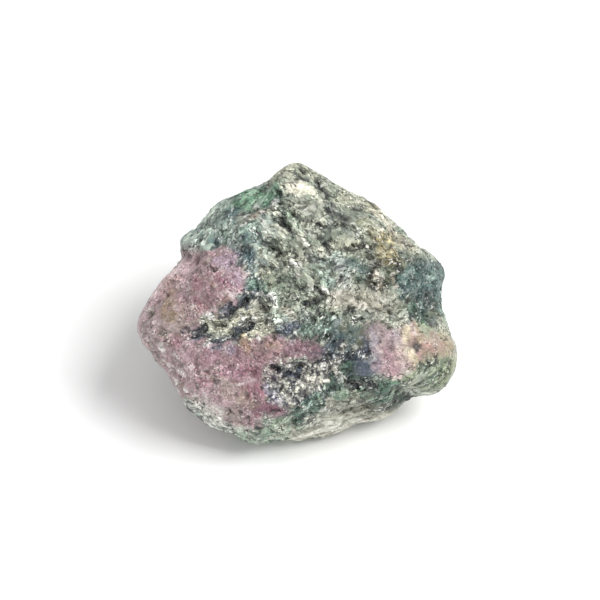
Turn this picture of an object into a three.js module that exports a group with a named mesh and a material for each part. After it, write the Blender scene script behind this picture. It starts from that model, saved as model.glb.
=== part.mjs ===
// A rough lump of ruby in fuchsite: one broken piece of green mica schist with pink ruby grown through it.
// Millimetres, +Z up. The origin is under the middle of the lump, on the surface that it rests on.
import * as THREE from "three";
import { ConvexGeometry } from "three/addons/geometries/ConvexGeometry.js";
import { ImprovedNoise } from "three/addons/math/ImprovedNoise.js";
import { mergeVertices } from "three/addons/utils/BufferGeometryUtils.js";

const { clamp, degToRad, euclideanModulo, lerp, seededRandom, smoothstep } = THREE.MathUtils;

// Driving dimensions
const SHOW_TILT = 50; // degrees: the show face looks out this far above the horizon, towards -Y
const SHOW_DISTANCE = 312; // how far from the core the outline below was taken
const CORE_HEIGHT = 13.5; // the middle of the lump stands this far above its resting face
const FINENESS = 21; // how often each edge of the starting icosahedron is divided
const WEAR = 0.5; // how far a pass of rubbing moves a point towards its neighbours

// The relief that broken schist has all over
const BREAKS = { count: 210, lean: 0.24, step: 0.2, blend: 0.45 }; // small flats, each leaning its own way
const LUMPS = { span: 6.5, height: 0.7 };
const CRAGS = { span: 2.4, height: 0.5 };
const LEDGES = { spacing: 3.3, height: 0.5, waver: 1.6, span: 5 };

const SECTORS = 100; // the outline is fitted in this many slices
const FITTED = 0.55; // and only on the part of the lump beyond this share of its reach
const PROUD = 1.005; // corners stand this much past the outline, because facets cut inside it

// Directions of the show view: across to the right, up the face, and out of it
const tilt = degToRad(SHOW_TILT);
const ACROSS = new THREE.Vector3(1, 0, 0);
const UP = new THREE.Vector3(0, Math.sin(tilt), Math.cos(tilt));
const OUT = new THREE.Vector3(0, -Math.cos(tilt), Math.sin(tilt));

// A point given as it is seen from the show side: across, up and out from the lump's core.
const seen = ([across, up, out]) =>
  new THREE.Vector3()
    .addScaledVector(ACROSS, across)
    .addScaledVector(UP, up)
    .addScaledVector(OUT, out);

// A point given on the ground plan: x, y and height, as a place about the core.
const stood = ([x, y, height]) => new THREE.Vector3(x, y, height - CORE_HEIGHT);

// The mica lies in sheets square to this, which rise to the right across the show face.
const FOLIATION = seen([-0.4, 0.85, 0.35]).normalize();

// The outline of the show view, clockwise from the peak: across, up, and how far out of the core's plane
const OUTLINE = [
  [-0.3, 17.8, 2.5], [1.8, 17.2, 2.3], [3.6, 15.9, 2], [6, 14.3, 1.5], [8, 13.6, 1], [9.9, 12.4, 0.5],
  [12.1, 10.5, 0], [14.9, 7.5, -0.5], [16.4, 6.8, -1], [17.7, 5.7, -1], [18.6, 3.5, -1.5], [18.1, 1.4, -1],
  [18.1, -0.4, -0.5], [18.9, -1.8, 0], [19.2, -3.4, 0], [20.0, -5.3, 0.5], [20.1, -8.1, 0.5],
  [18.9, -10.3, 0], [17.7, -11.2, 0], [15.8, -11.7, -0.5], [14.6, -11.3, -1], [13.2, -12.7, -1],
  [11.4, -14.3, -1], [9.4, -14.5, -1.5], [7.7, -14.8, -2], [5.5, -16.1, -2], [3, -16.8, -2],
  [0.5, -17.2, -2.5], [-1.4, -16.8, -2], [-4.5, -17.8, -1], [-6.4, -17.1, -0.5], [-8.3, -16.1, 0],
  [-11.5, -15.1, 1], [-13.9, -12.9, 2], [-14.3, -11.6, 2], [-16.2, -8.6, 2.5], [-19.0, -5.3, 3],
  [-20.0, -2.8, 3], [-19.5, -1.2, 2.5], [-17.6, 1.8, 2], [-16.2, 3.6, 1], [-14.1, 5.7, 0], [-14.7, 7.1, 0],
  [-14.3, 8.4, 0], [-12.3, 9.8, 0], [-10.7, 11.8, 0], [-9.5, 12.9, 0], [-7, 13.8, 0.5], [-5.3, 14.9, 1],
  [-4.1, 14.8, 1], [-2.6, 16.4, 2],
];

// Corners of the show face inside it: the grey slope above, its crest, and the ruby slope below
const FACE = [
  [-11, 9, 4.5], [-6, 12.5, 5], [-1, 15.5, 5.5], [5.5, 12, 6.5], [11, 8, 5.5], [15.5, 4, 4],
  [-13, 2, 7.5], [-7, 2, 9.6], [1, 1.5, 10.8], [8, -0.5, 9.8], [15, -3, 7],
  [-17.5, -3.2, 6], [-13, -8.5, 7.8], [-9, -12.5, 7], [-3, -14.2, 6], [4, -13.2, 6.6], [10, -11.2, 6.6],
  [15.5, -9.4, 6], [18, -6.5, 5], [-4, -5, 10.8], [5, -5.5, 10.4],
];

// Corners of the back and the sides, which the show view hides, on the ground plan
const BACK = [
  [-9, 14, 11], [3, 17.5, 13], [11, 13, 13], [16, 5, 8], [17, -2, 5], [-13.5, 8, 9], [-15, 1, 6],
  [-11, 10.5, 15.5], [5, 14.5, 18.5], [0, 16.5, 4], [9, 12, 4], [-9, 11, 4],
];

// Corners under the face that it rests on, on the ground plan and a little below that face
const BASE = [
  [-6.5, -9, -1], [1, -11.3, -1], [8.5, -8.5, -1], [12, -1, -1], [9, 8, -1], [0, 12, -1], [-8, 7, -1],
  [-10, -1.5, -1],
];

// Valleys and pits of the show face, each pressed in along a line
const HOLLOWS = [
  { from: [-14.2, 6.0, 0], to: [-12.2, 5.4, 4], half: 1.3, depth: 0.9 }, // notch at the top of the ruby
  { from: [-4.3, 15.0, 1], to: [-4.2, 13.0, 5], half: 1.5, depth: 0.9 }, // notch beside the peak
  { from: [18.0, 0.4, 0], to: [17.0, 0.2, 5], half: 1.9, depth: 0.8 }, // waist of the right side
  { from: [14.6, -11.8, -1], to: [12.6, -11.0, 5], half: 1.3, depth: 1.1 }, // notch under the right-hand lobe
  { from: [-12.2, -3.6, 8], to: [-5.0, -1.4, 10], half: 1.4, depth: 1.1 }, // cleft between the ruby lobes
  { from: [-7.0, 0.5, 10], to: [-4.4, 3.6, 9], half: 1.4, depth: 0.9 }, // its turn behind the upper lobe
  { from: [-2.0, -8.3, 9], to: [4.5, -9.2, 9], half: 1.6, depth: 0.8 }, // pocket under the lower lobe
  { from: [4.5, 6.9, 8], to: [8.0, 7.1, 8], half: 1.1, depth: 0.8 }, // foot of the ledge in the grey slope
  { from: [-3.4, 3.0, 9], to: [-2.4, 5.2, 9], half: 1.3, depth: 0.8 }, // hollow left of the middle
  { from: [15.4, -1.6, 6], to: [17.6, -0.9, 4], half: 1.1, depth: 1.0 }, // dark pit above the pink patch
  { from: [6.5, -5.6, 10], to: [9.6, -3.4, 9], half: 1.3, depth: 0.7 }, // dip left of the pink patch
];

const perlin = new ImprovedNoise();

// Perlin noise at a point, with one wave to about every span millimetres.
const noise = (point, span, shift) =>
  perlin.noise(point.x / span + shift, point.y / span - shift, point.z / span + 2 * shift);

// The large breaks of the lump: the planes of the hull round all its corners.
function largeBreaks() {
  const corners = [...[...OUTLINE, ...FACE].map(seen), ...[...BACK, ...BASE].map(stood)];
  const hull = new ConvexGeometry(corners).getAttribute("position");
  const planes = [];
  for (let i = 0; i < hull.count; i += 3) {
    const [a, b, c] = [0, 1, 2].map((k) => new THREE.Vector3().fromBufferAttribute(hull, i + k));
    planes.push(new THREE.Plane().setFromCoplanarPoints(a, b, c));
  }
  return planes;
}

// Where a ray from the core leaves the hull: its distance, and the normal of the plane that it meets there.
function leave(direction, planes) {
  let distance = Infinity;
  let normal = direction;
  for (const plane of planes) {
    const towards = plane.normal.dot(direction);
    if (towards > 0 && -plane.constant / towards < distance) {
      distance = -plane.constant / towards;
      normal = plane.normal;
    }
  }
  return { distance, normal };
}

// Small breaks spread over the surface, each with a spot, the way that it leans and its own level.
function smallBreaks(planes) {
  seededRandom(41);
  const even = () => seededRandom() - 0.5;
  return Array.from({ length: BREAKS.count }, () => {
    const direction = new THREE.Vector3(even(), even(), even()).normalize();
    const spot = direction.clone().multiplyScalar(leave(direction, planes).distance);
    const lean = new THREE.Vector3(even(), even(), even()).normalize().multiplyScalar(BREAKS.lean);
    return { spot, lean, level: 2 * BREAKS.step * even() };
  });
}

// How far the small breaks lift the surface at a point: the nearest counts most.
function breakLift(point, breaks) {
  let lift = 0;
  let total = 0;
  for (const { spot, lean, level } of breaks) {
    const weight = Math.exp(-point.distanceTo(spot) / BREAKS.blend);
    lift += weight * (level + lean.dot(point.clone().sub(spot)));
    total += weight;
  }
  return lift / total;
}

// How far the ledges of the mica sheets lift the surface: none where the surface runs along the sheets.
function ledgeLift(point, normal) {
  const along = point.dot(FOLIATION) + LEDGES.waver * noise(point, LEDGES.span, 3.7);
  const step = euclideanModulo(along / LEDGES.spacing, 1);
  const profile = smoothstep(step, 0, 0.6) - smoothstep(step, 0.6, 1) - 0.5;
  return LEDGES.height * profile * (1 - Math.abs(normal.dot(FOLIATION)));
}

// How deep the hollows are at a point.
function hollowDepth(point) {
  let depth = 0;
  for (const hollow of HOLLOWS) {
    const line = new THREE.Line3(seen(hollow.from), seen(hollow.to));
    const off = line.closestPointToPoint(point, true, new THREE.Vector3()).distanceTo(point);
    depth = Math.max(depth, hollow.depth * (1 - smoothstep(off, 0.2 * hollow.half, 1.7 * hollow.half)));
  }
  return depth;
}

// For each vertex of an indexed geometry, the vertices that share an edge with it.
function neighboursOf(geometry) {
  const neighbours = Array.from({ length: geometry.getAttribute("position").count }, () => new Set());
  const corners = geometry.index.array;
  for (let i = 0; i < corners.length; i += 3)
    for (let k = 0; k < 3; k++) {
      neighbours[corners[i + k]].add(corners[i + ((k + 1) % 3)]);
      neighbours[corners[i + k]].add(corners[i + ((k + 2) % 3)]);
    }
  return neighbours;
}

// Moves each point part of the way to the middle of its neighbours, as rubbing wears edges.
function wear(points, neighbours) {
  return points.map((point, i) => {
    const middle = new THREE.Vector3();
    for (const j of neighbours[i]) middle.add(points[j]);
    return point.clone().lerp(middle.divideScalar(neighbours[i].size), WEAR);
  });
}

// How far the outline reaches from the core at an angle in the show view.
function outlineReach(angle) {
  const [rayAcross, rayUp] = [Math.cos(angle), Math.sin(angle)];
  let reach = 0;
  OUTLINE.forEach(([across, up], i) => {
    const [nextAcross, nextUp] = OUTLINE[(i + 1) % OUTLINE.length];
    const [edgeAcross, edgeUp] = [nextAcross - across, nextUp - up];
    const turn = rayAcross * edgeUp - rayUp * edgeAcross;
    const share = (across * rayUp - up * rayAcross) / turn;
    const distance = (across * edgeUp - up * edgeAcross) / turn;
    if (share >= 0 && share <= 1 && distance > reach) reach = distance;
  });
  return reach;
}

// Stretches or shrinks the rim of the lump until its edge in the show view lies on the outline.
function fitOutline(points) {
  const places = points.map((point) => {
    const near = SHOW_DISTANCE / (SHOW_DISTANCE - point.dot(OUT));
    const place = new THREE.Vector2(point.dot(ACROSS), point.dot(UP)).multiplyScalar(near);
    const share = place.length() / (PROUD * outlineReach(place.angle()));
    return { sector: (place.angle() / (2 * Math.PI)) * SECTORS, share };
  });
  const fill = new Array(SECTORS).fill(0);
  for (const { sector, share } of places) {
    const slice = Math.floor(sector) % SECTORS;
    fill[slice] = Math.max(fill[slice], share);
  }
  return points.map((point, i) => {
    const from = places[i].sector - 0.5;
    const slice = Math.floor(from);
    const [before, after] = [slice, slice + 1].map((k) => fill[euclideanModulo(k, SECTORS)]);
    const filled = lerp(before, after, from - slice);
    const rim = smoothstep(clamp(places[i].share / filled, 0, 1), FITTED, 1);
    const stretch = (1 / filled - 1) * rim;
    return point
      .clone()
      .addScaledVector(ACROSS, stretch * point.dot(ACROSS))
      .addScaledVector(UP, stretch * point.dot(UP));
  });
}

// Shortens the ray of a point that reaches below the resting face, so that the point lies on it.
function settle(point) {
  if (point.z < -CORE_HEIGHT) point.multiplyScalar(-CORE_HEIGHT / point.z).setZ(-CORE_HEIGHT);
  return point;
}

// The lump over the origin: a ball carried out to the large breaks, worn, roughened, fitted and settled.
function restingLump() {
  const ball = new THREE.IcosahedronGeometry(1, FINENESS);
  ball.deleteAttribute("normal");
  ball.deleteAttribute("uv");
  const lump = mergeVertices(ball);
  const place = lump.getAttribute("position");
  const planes = largeBreaks();
  const breaks = smallBreaks(planes);
  const neighbours = neighboursOf(lump);
  const corner = (i) => new THREE.Vector3().fromBufferAttribute(place, i);
  const rays = Array.from({ length: place.count }, (_, i) => corner(i));
  const hull = rays.map((ray) => ray.clone().multiplyScalar(leave(ray, planes).distance));
  const rough = wear(wear(hull, neighbours), neighbours).map((point, i) => {
    const lift =
      breakLift(point, breaks) +
      ledgeLift(point, leave(rays[i], planes).normal) +
      LUMPS.height * noise(point, LUMPS.span, 1.3) +
      CRAGS.height * noise(point, CRAGS.span, 5.1) -
      hollowDepth(point);
    return point.clone().addScaledVector(point.clone().normalize(), lift);
  });
  lump.setFromPoints(fitOutline(rough).map(settle));
  lump.computeBoundingBox();
  const { min, max } = lump.boundingBox;
  lump.translate(-(min.x + max.x) / 2, -(min.y + max.y) / 2, -min.z);
  lump.computeVertexNormals();
  return lump;
}

const rock = new THREE.MeshStandardMaterial({ color: 0x9aa094, roughness: 0.6, metalness: 0 });
const stone = new THREE.Mesh(restingLump(), rock);
stone.name = "stone";

const specimen = new THREE.Group();
specimen.add(stone);

export default specimen;
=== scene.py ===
"""A rough lump of ruby in fuchsite, dressed over its solid: granular pink ruby in grey-green mica schist."""

import logging
import math
from dataclasses import dataclass
from enum import Enum
from typing import Callable, ClassVar, Iterator

import bmesh
import bpy
import numpy as np
from mathutils import Matrix, Vector, kdtree, noise
from mathutils.bvhtree import BVHTree

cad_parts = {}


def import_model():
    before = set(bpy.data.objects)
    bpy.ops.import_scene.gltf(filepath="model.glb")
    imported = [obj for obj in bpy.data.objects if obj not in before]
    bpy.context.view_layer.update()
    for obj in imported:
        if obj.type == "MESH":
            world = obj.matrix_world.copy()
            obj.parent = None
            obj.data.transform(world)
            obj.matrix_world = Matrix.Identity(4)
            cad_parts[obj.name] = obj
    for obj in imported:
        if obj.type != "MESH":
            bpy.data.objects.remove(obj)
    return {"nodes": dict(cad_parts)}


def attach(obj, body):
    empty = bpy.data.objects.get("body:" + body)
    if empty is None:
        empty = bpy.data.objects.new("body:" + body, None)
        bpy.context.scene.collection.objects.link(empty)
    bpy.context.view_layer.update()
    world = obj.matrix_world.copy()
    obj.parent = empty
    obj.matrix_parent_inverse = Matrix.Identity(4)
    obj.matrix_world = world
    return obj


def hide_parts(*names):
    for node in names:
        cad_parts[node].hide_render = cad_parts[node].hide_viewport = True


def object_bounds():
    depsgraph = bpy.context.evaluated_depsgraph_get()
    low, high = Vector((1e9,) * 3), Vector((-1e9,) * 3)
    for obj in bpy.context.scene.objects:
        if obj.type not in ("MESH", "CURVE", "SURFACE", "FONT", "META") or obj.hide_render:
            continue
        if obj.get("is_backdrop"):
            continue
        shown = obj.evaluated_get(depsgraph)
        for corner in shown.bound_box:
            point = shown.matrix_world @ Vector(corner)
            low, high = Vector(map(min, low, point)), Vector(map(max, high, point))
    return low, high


MM = 0.001
SEED = 20  # of every chance in the lump and in what is scattered over it
SHOW_TILT = math.radians(50.0)  # the show face looks out this far above the horizon, towards -Y
SHOW_DISTANCE = 312.5  # mm from the core to the eye that sees the show face
CORE = Vector((-0.16, -0.92, 13.5))  # mm: the middle of the show view, inside the lump
ACROSS = Vector((1.0, 0.0, 0.0))
UP = Vector((0.0, math.sin(SHOW_TILT), math.cos(SHOW_TILT)))
OUT = Vector((0.0, -math.cos(SHOW_TILT), math.sin(SHOW_TILT)))
SHOW_AXES = Matrix((ACROSS, UP, OUT))  # turns a place about the core into across, up and out
SHEETS = Vector((-0.4, 0.85, 0.35)).normalized()  # square to the mica sheets, in show axes
LEDGE_RISE = Vector((0.35, 0.9, 0.0)).normalized()  # where the steps between flakes climb, in show axes

Socket = bpy.types.NodeSocket
Array = np.ndarray
Pair = tuple[float, float]

log = logging.getLogger("ruby in fuchsite")


class Grain(Enum):
    """How a mineral breaks: the size of its grains in mm along the fibres, across them and into the rock."""

    GRANULAR = (0.44, 0.44, 0.44)
    FLAKY = (0.95, 0.42, 0.45)
    FIBROUS = (2.0, 0.34, 0.4)
    MASSIVE = (0.9, 0.9, 0.9)


class Run(Enum):
    """Which way the fibres run: degrees above level in the show view."""

    FALLING = -38.0
    LEVEL = 16.0
    RISING = 50.0

    @property
    def axes(self) -> Matrix:
        """Turns show axes to those along the fibres, across them and out of the show face.

        Returns:
            The matrix that does it.
        """
        turn = math.radians(self.value)
        along = Vector((math.cos(turn), math.sin(turn), 0.0))
        return Matrix((along, (-along.y, along.x, 0.0), (0.0, 0.0, 1.0)))


RUN_MARKS = {
    # Places on the show face with each run of the fibres: mm across and up from the core, point after point
    Run.FALLING: (
        1.5, 14.5, 3.4, 11, -1, 9.6, 2.4, 7.4, 6.2, 9.6, 10, 9, -3.2, 5.4, 1, 3.4, -4.4, -16.4, -11.4, -14,
        -10, -9,
    ),
    Run.LEVEL: (
        12.6, 6, -7.2, -2.4, -11, -3.6, -2.6, -1, 8, 0.4, 0.4, -9.4, 10.6, -10.2, 5.8, -15.2, 12, -13.4,
    ),
    Run.RISING: (
        -10.6, 9.4, -7.4, 12, -5.6, 4.6, -5.2, 1.4, 3.8, -2.6, 6.2, 4.4, 15.4, 2.6, 12.6, -5, 17.2, -9, 3,
        -7.6, 0.6, -13.4, -13, 1,
    ),
}


@dataclass(frozen=True)
class Mineral:
    """What a patch of the rock is made of."""

    grain: Grain  # how it breaks
    relief: float  # how far its grains stand in and out, in mm
    gloss: float  # its roughness as a shader takes it
    glow: float  # the share of light that sinks into it
    flakes: float  # loose-edged flakes on each square mm
    light: float  # what its tints are multiplied by
    palette: tuple[tuple[str, float], ...]  # sRGB hex colours of its grains, each with its share
    blend: float = 0.42  # how much of its surroundings' colour a grain takes on
    calm: float = 0.0  # how far its specks fade

    @property
    def granular(self) -> bool:
        """Whether its grains are as long as they are wide, so that it has no fibres."""
        return self.grain in (Grain.GRANULAR, Grain.MASSIVE)


class Kind(Enum):
    """The minerals of this lump, named as a collector would."""

    GREY = Mineral(Grain.FLAKY, 0.08, 0.45, 0.0, 2.6, 0.96, (
        ("d0d4c0", 20), ("babfac", 26), ("9eaa97", 24), ("828f7f", 16), ("616c60", 9), ("3b463d", 5)), 0.62)
    GREY_DARK = Mineral(Grain.FLAKY, 0.11, 0.4, 0.0, 1.2, 1.0, (
        ("3c423e", 34), ("555c56", 22), ("7a8078", 14), ("2e3230", 20), ("a9ac9e", 10)))
    CREAM = Mineral(Grain.FLAKY, 0.088, 0.4, 0.1, 2.2, 1.0, (
        ("efead8", 36), ("ded9c4", 26), ("c9c5ae", 18), ("fbf8ea", 12), ("a9a692", 8)))
    BEIGE = Mineral(Grain.FLAKY, 0.07, 0.45, 0.05, 1.6, 0.95, (
        ("ccc6b6", 30), ("b6b2a0", 24), ("d8d2c6", 24), ("969282", 14), ("6c685c", 6)), 0.6, 0.4)
    LAYERED = Mineral(Grain.FIBROUS, 0.07, 0.5, 0.05, 0.5, 1.0, (
        ("d3d1bf", 30), ("bfbeac", 28), ("a8a795", 18), ("e4e2d5", 16), ("8a8976", 8)), 0.45, 0.75)
    SHEET = Mineral(Grain.MASSIVE, 0.05, 0.38, 0.03, 0.7, 0.86, (
        ("b8beac", 32), ("a4ae9a", 28), ("caceba", 22), ("8e9886", 18)), 0.5, 0.6)
    RUBY = Mineral(Grain.GRANULAR, 0.05, 0.42, 0.12, 0.25, 1.05, (
        ("b2949a", 28), ("a6868a", 22), ("c6b2b4", 14), ("8e7a7a", 14),
        ("aa9c92", 12), ("86685c", 6), ("5a4a4c", 4)), 0.4, 0.3)
    RUBY_DULL = Mineral(Grain.GRANULAR, 0.06, 0.5, 0.08, 0.4, 1.05, (
        ("a48c8e", 26), ("907e76", 20), ("b0a09e", 18), ("776a60", 14), ("9a9082", 12), ("6a5a4c", 10)))
    DEEP_RUBY = Mineral(Grain.GRANULAR, 0.044, 0.35, 0.15, 0.2, 1.05, (
        ("86626c", 34), ("745662", 24), ("98747e", 20), ("5c4a54", 12), ("9c9094", 10)), 0.42, 0.45)
    PINK = Mineral(Grain.GRANULAR, 0.034, 0.42, 0.15, 0.15, 0.65, (
        ("c4a8aa", 30), ("cdb6b4", 22), ("b89a9c", 20), ("d8cac4", 14), ("a89e9c", 14)), 0.6, 0.45)
    PEACH = Mineral(Grain.GRANULAR, 0.038, 0.45, 0.12, 0.15, 0.57, (
        ("ccb2a2", 24), ("c4a69a", 20), ("dacab8", 20), ("b2988e", 14), ("beb094", 14),
        ("a08e7e", 8)), 0.55, 0.4)
    NAVY = Mineral(Grain.FLAKY, 0.077, 0.3, 0.0, 0.6, 1.15, (
        ("3f4856", 32), ("525c68", 26), ("2f3640", 22), ("6c757c", 12), ("8b9490", 8)), 0.3)
    SLATE = Mineral(Grain.MASSIVE, 0.049, 0.32, 0.05, 0.3, 0.7, (
        ("5a6672", 34), ("46515c", 26), ("76838c", 20), ("38414a", 20)), 0.42, 0.6)
    CLEFT = Mineral(Grain.FLAKY, 0.11, 0.45, 0.0, 3.0, 1.07, (
        ("dad9c6", 30), ("c4c6b2", 24), ("a0a290", 16), ("40443f", 18), ("f0eee2", 12)), 0.2)
    FRINGE = Mineral(Grain.FLAKY, 0.083, 0.38, 0.0, 1.8, 0.8, (
        ("5f7376", 28), ("8a9c98", 24), ("b8c4bc", 16), ("4a5a60", 22), ("dfe4da", 10)))
    TEAL = Mineral(Grain.FLAKY, 0.083, 0.38, 0.05, 1.4, 1.2, (
        ("6f9080", 26), ("93b0a0", 22), ("4f6c62", 22), ("c9d4c6", 14), ("3e524c", 16)))
    TEAL_SMOOTH = Mineral(Grain.MASSIVE, 0.042, 0.32, 0.15, 0.4, 0.58, (
        ("587472", 34), ("46605e", 30), ("6f8a86", 20), ("7c8068", 16)), 0.42, 0.6)
    TEAL_FIBRE = Mineral(Grain.FIBROUS, 0.084, 0.35, 0.05, 0.7, 0.4, (
        ("54807a", 26), ("3a625c", 24), ("7aa49a", 16), ("284840", 16), ("a8c4bc", 10),
        ("447074", 8)), 0.42, 0.3)
    EMERALD = Mineral(Grain.FIBROUS, 0.072, 0.38, 0.1, 1.2, 1.02, (
        ("6f9a7c", 26), ("8ab594", 22), ("4f7a60", 22), ("9cc4a4", 12), ("3d5c4a", 12), ("b8d0b8", 6)))
    SHOULDER = Mineral(Grain.FLAKY, 0.083, 0.42, 0.03, 1.8, 1.16, (
        ("8fa596", 24), ("b4c2b4", 18), ("6d8478", 20), ("dfe6dc", 12), ("485a50", 14), ("58707a", 12)), 0.6)
    MINT = Mineral(Grain.FLAKY, 0.066, 0.38, 0.12, 1.2, 0.92, (
        ("aabeb0", 28), ("c6d2c6", 24), ("8ca498", 20), ("dfe6dc", 12), ("71897f", 16)))
    OCHRE = Mineral(Grain.FLAKY, 0.077, 0.45, 0.05, 1.2, 0.69, (
        ("aea888", 26), ("96906e", 20), ("c8c4aa", 20), ("827a5c", 14), ("66604c", 10), ("aa9c74", 10)))
    GRASS = Mineral(Grain.FIBROUS, 0.078, 0.42, 0.05, 1.0, 0.56, (
        ("98a880", 26), ("b0bc98", 22), ("7a9068", 20), ("d0d4ba", 12), ("56704e", 12), ("8c9c8c", 8)))
    OLIVE = Mineral(Grain.FLAKY, 0.08, 0.42, 0.0, 1.2, 0.76, (
        ("6c7454", 28), ("545c40", 24), ("8a8c6c", 18), ("3c4230", 14), ("b4ac8e", 10), ("8c8a68", 6)))
    BOTTLE = Mineral(Grain.FIBROUS, 0.09, 0.35, 0.0, 1.0, 0.92, (
        ("446654", 30), ("30493d", 24), ("64866f", 18), ("84a088", 10), ("26352d", 12), ("a8bca4", 6)), 0.3)
    STREAK = Mineral(Grain.FIBROUS, 0.09, 0.35, 0.05, 1.4, 0.88, (
        ("528674", 30), ("325c50", 26), ("84b29c", 16), ("cbd8c4", 12), ("24403a", 16)))
    CELADON = Mineral(Grain.FLAKY, 0.066, 0.42, 0.05, 1.0, 1.05, (
        ("a4b8a2", 30), ("8aa48c", 24), ("c2ccb8", 20), ("6a8470", 16), ("d8dccc", 10)))
    RIM = Mineral(Grain.FLAKY, 0.077, 0.42, 0.03, 1.4, 1.18, (
        ("cfcfc6", 28), ("b4b6ae", 22), ("e0e2da", 16), ("8c948a", 14), ("5c645e", 12), ("a2b0a4", 8)))
    SPECKLE = Mineral(Grain.GRANULAR, 0.11, 0.35, 0.0, 3.0, 0.95, (
        ("e6e4d9", 22), ("c4c2b4", 16), ("303642", 24), ("1e232b", 16), ("525a68", 12),
        ("8a867a", 12)), 0.12)


@dataclass(frozen=True)
class Patch:
    """A streak or blot of one mineral. Later ones lie over earlier ones."""

    kind: Kind  # its mineral
    half: float  # half its width, in mm
    # What it runs along, point after point: mm across and up from the core on the show face, and degrees
    # round from the front and above the core on the hidden sides
    path: tuple[float, ...]


@dataclass(frozen=True)
class Mark:
    """Stains, crevices in painted shade, bright flakes or painted light of one sort, over whatever mineral
    is there.
    """

    tone: str  # their sRGB hex colour
    strength: float  # their share of the colour in the middle
    half: float  # half the width over which they fade by half, in mm
    depth: float  # how deep they are sunk, in mm; less than 0 stands proud
    # What each runs along on the show face: mm across and up from the core, point after point
    paths: tuple[tuple[float, ...], ...]


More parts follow.
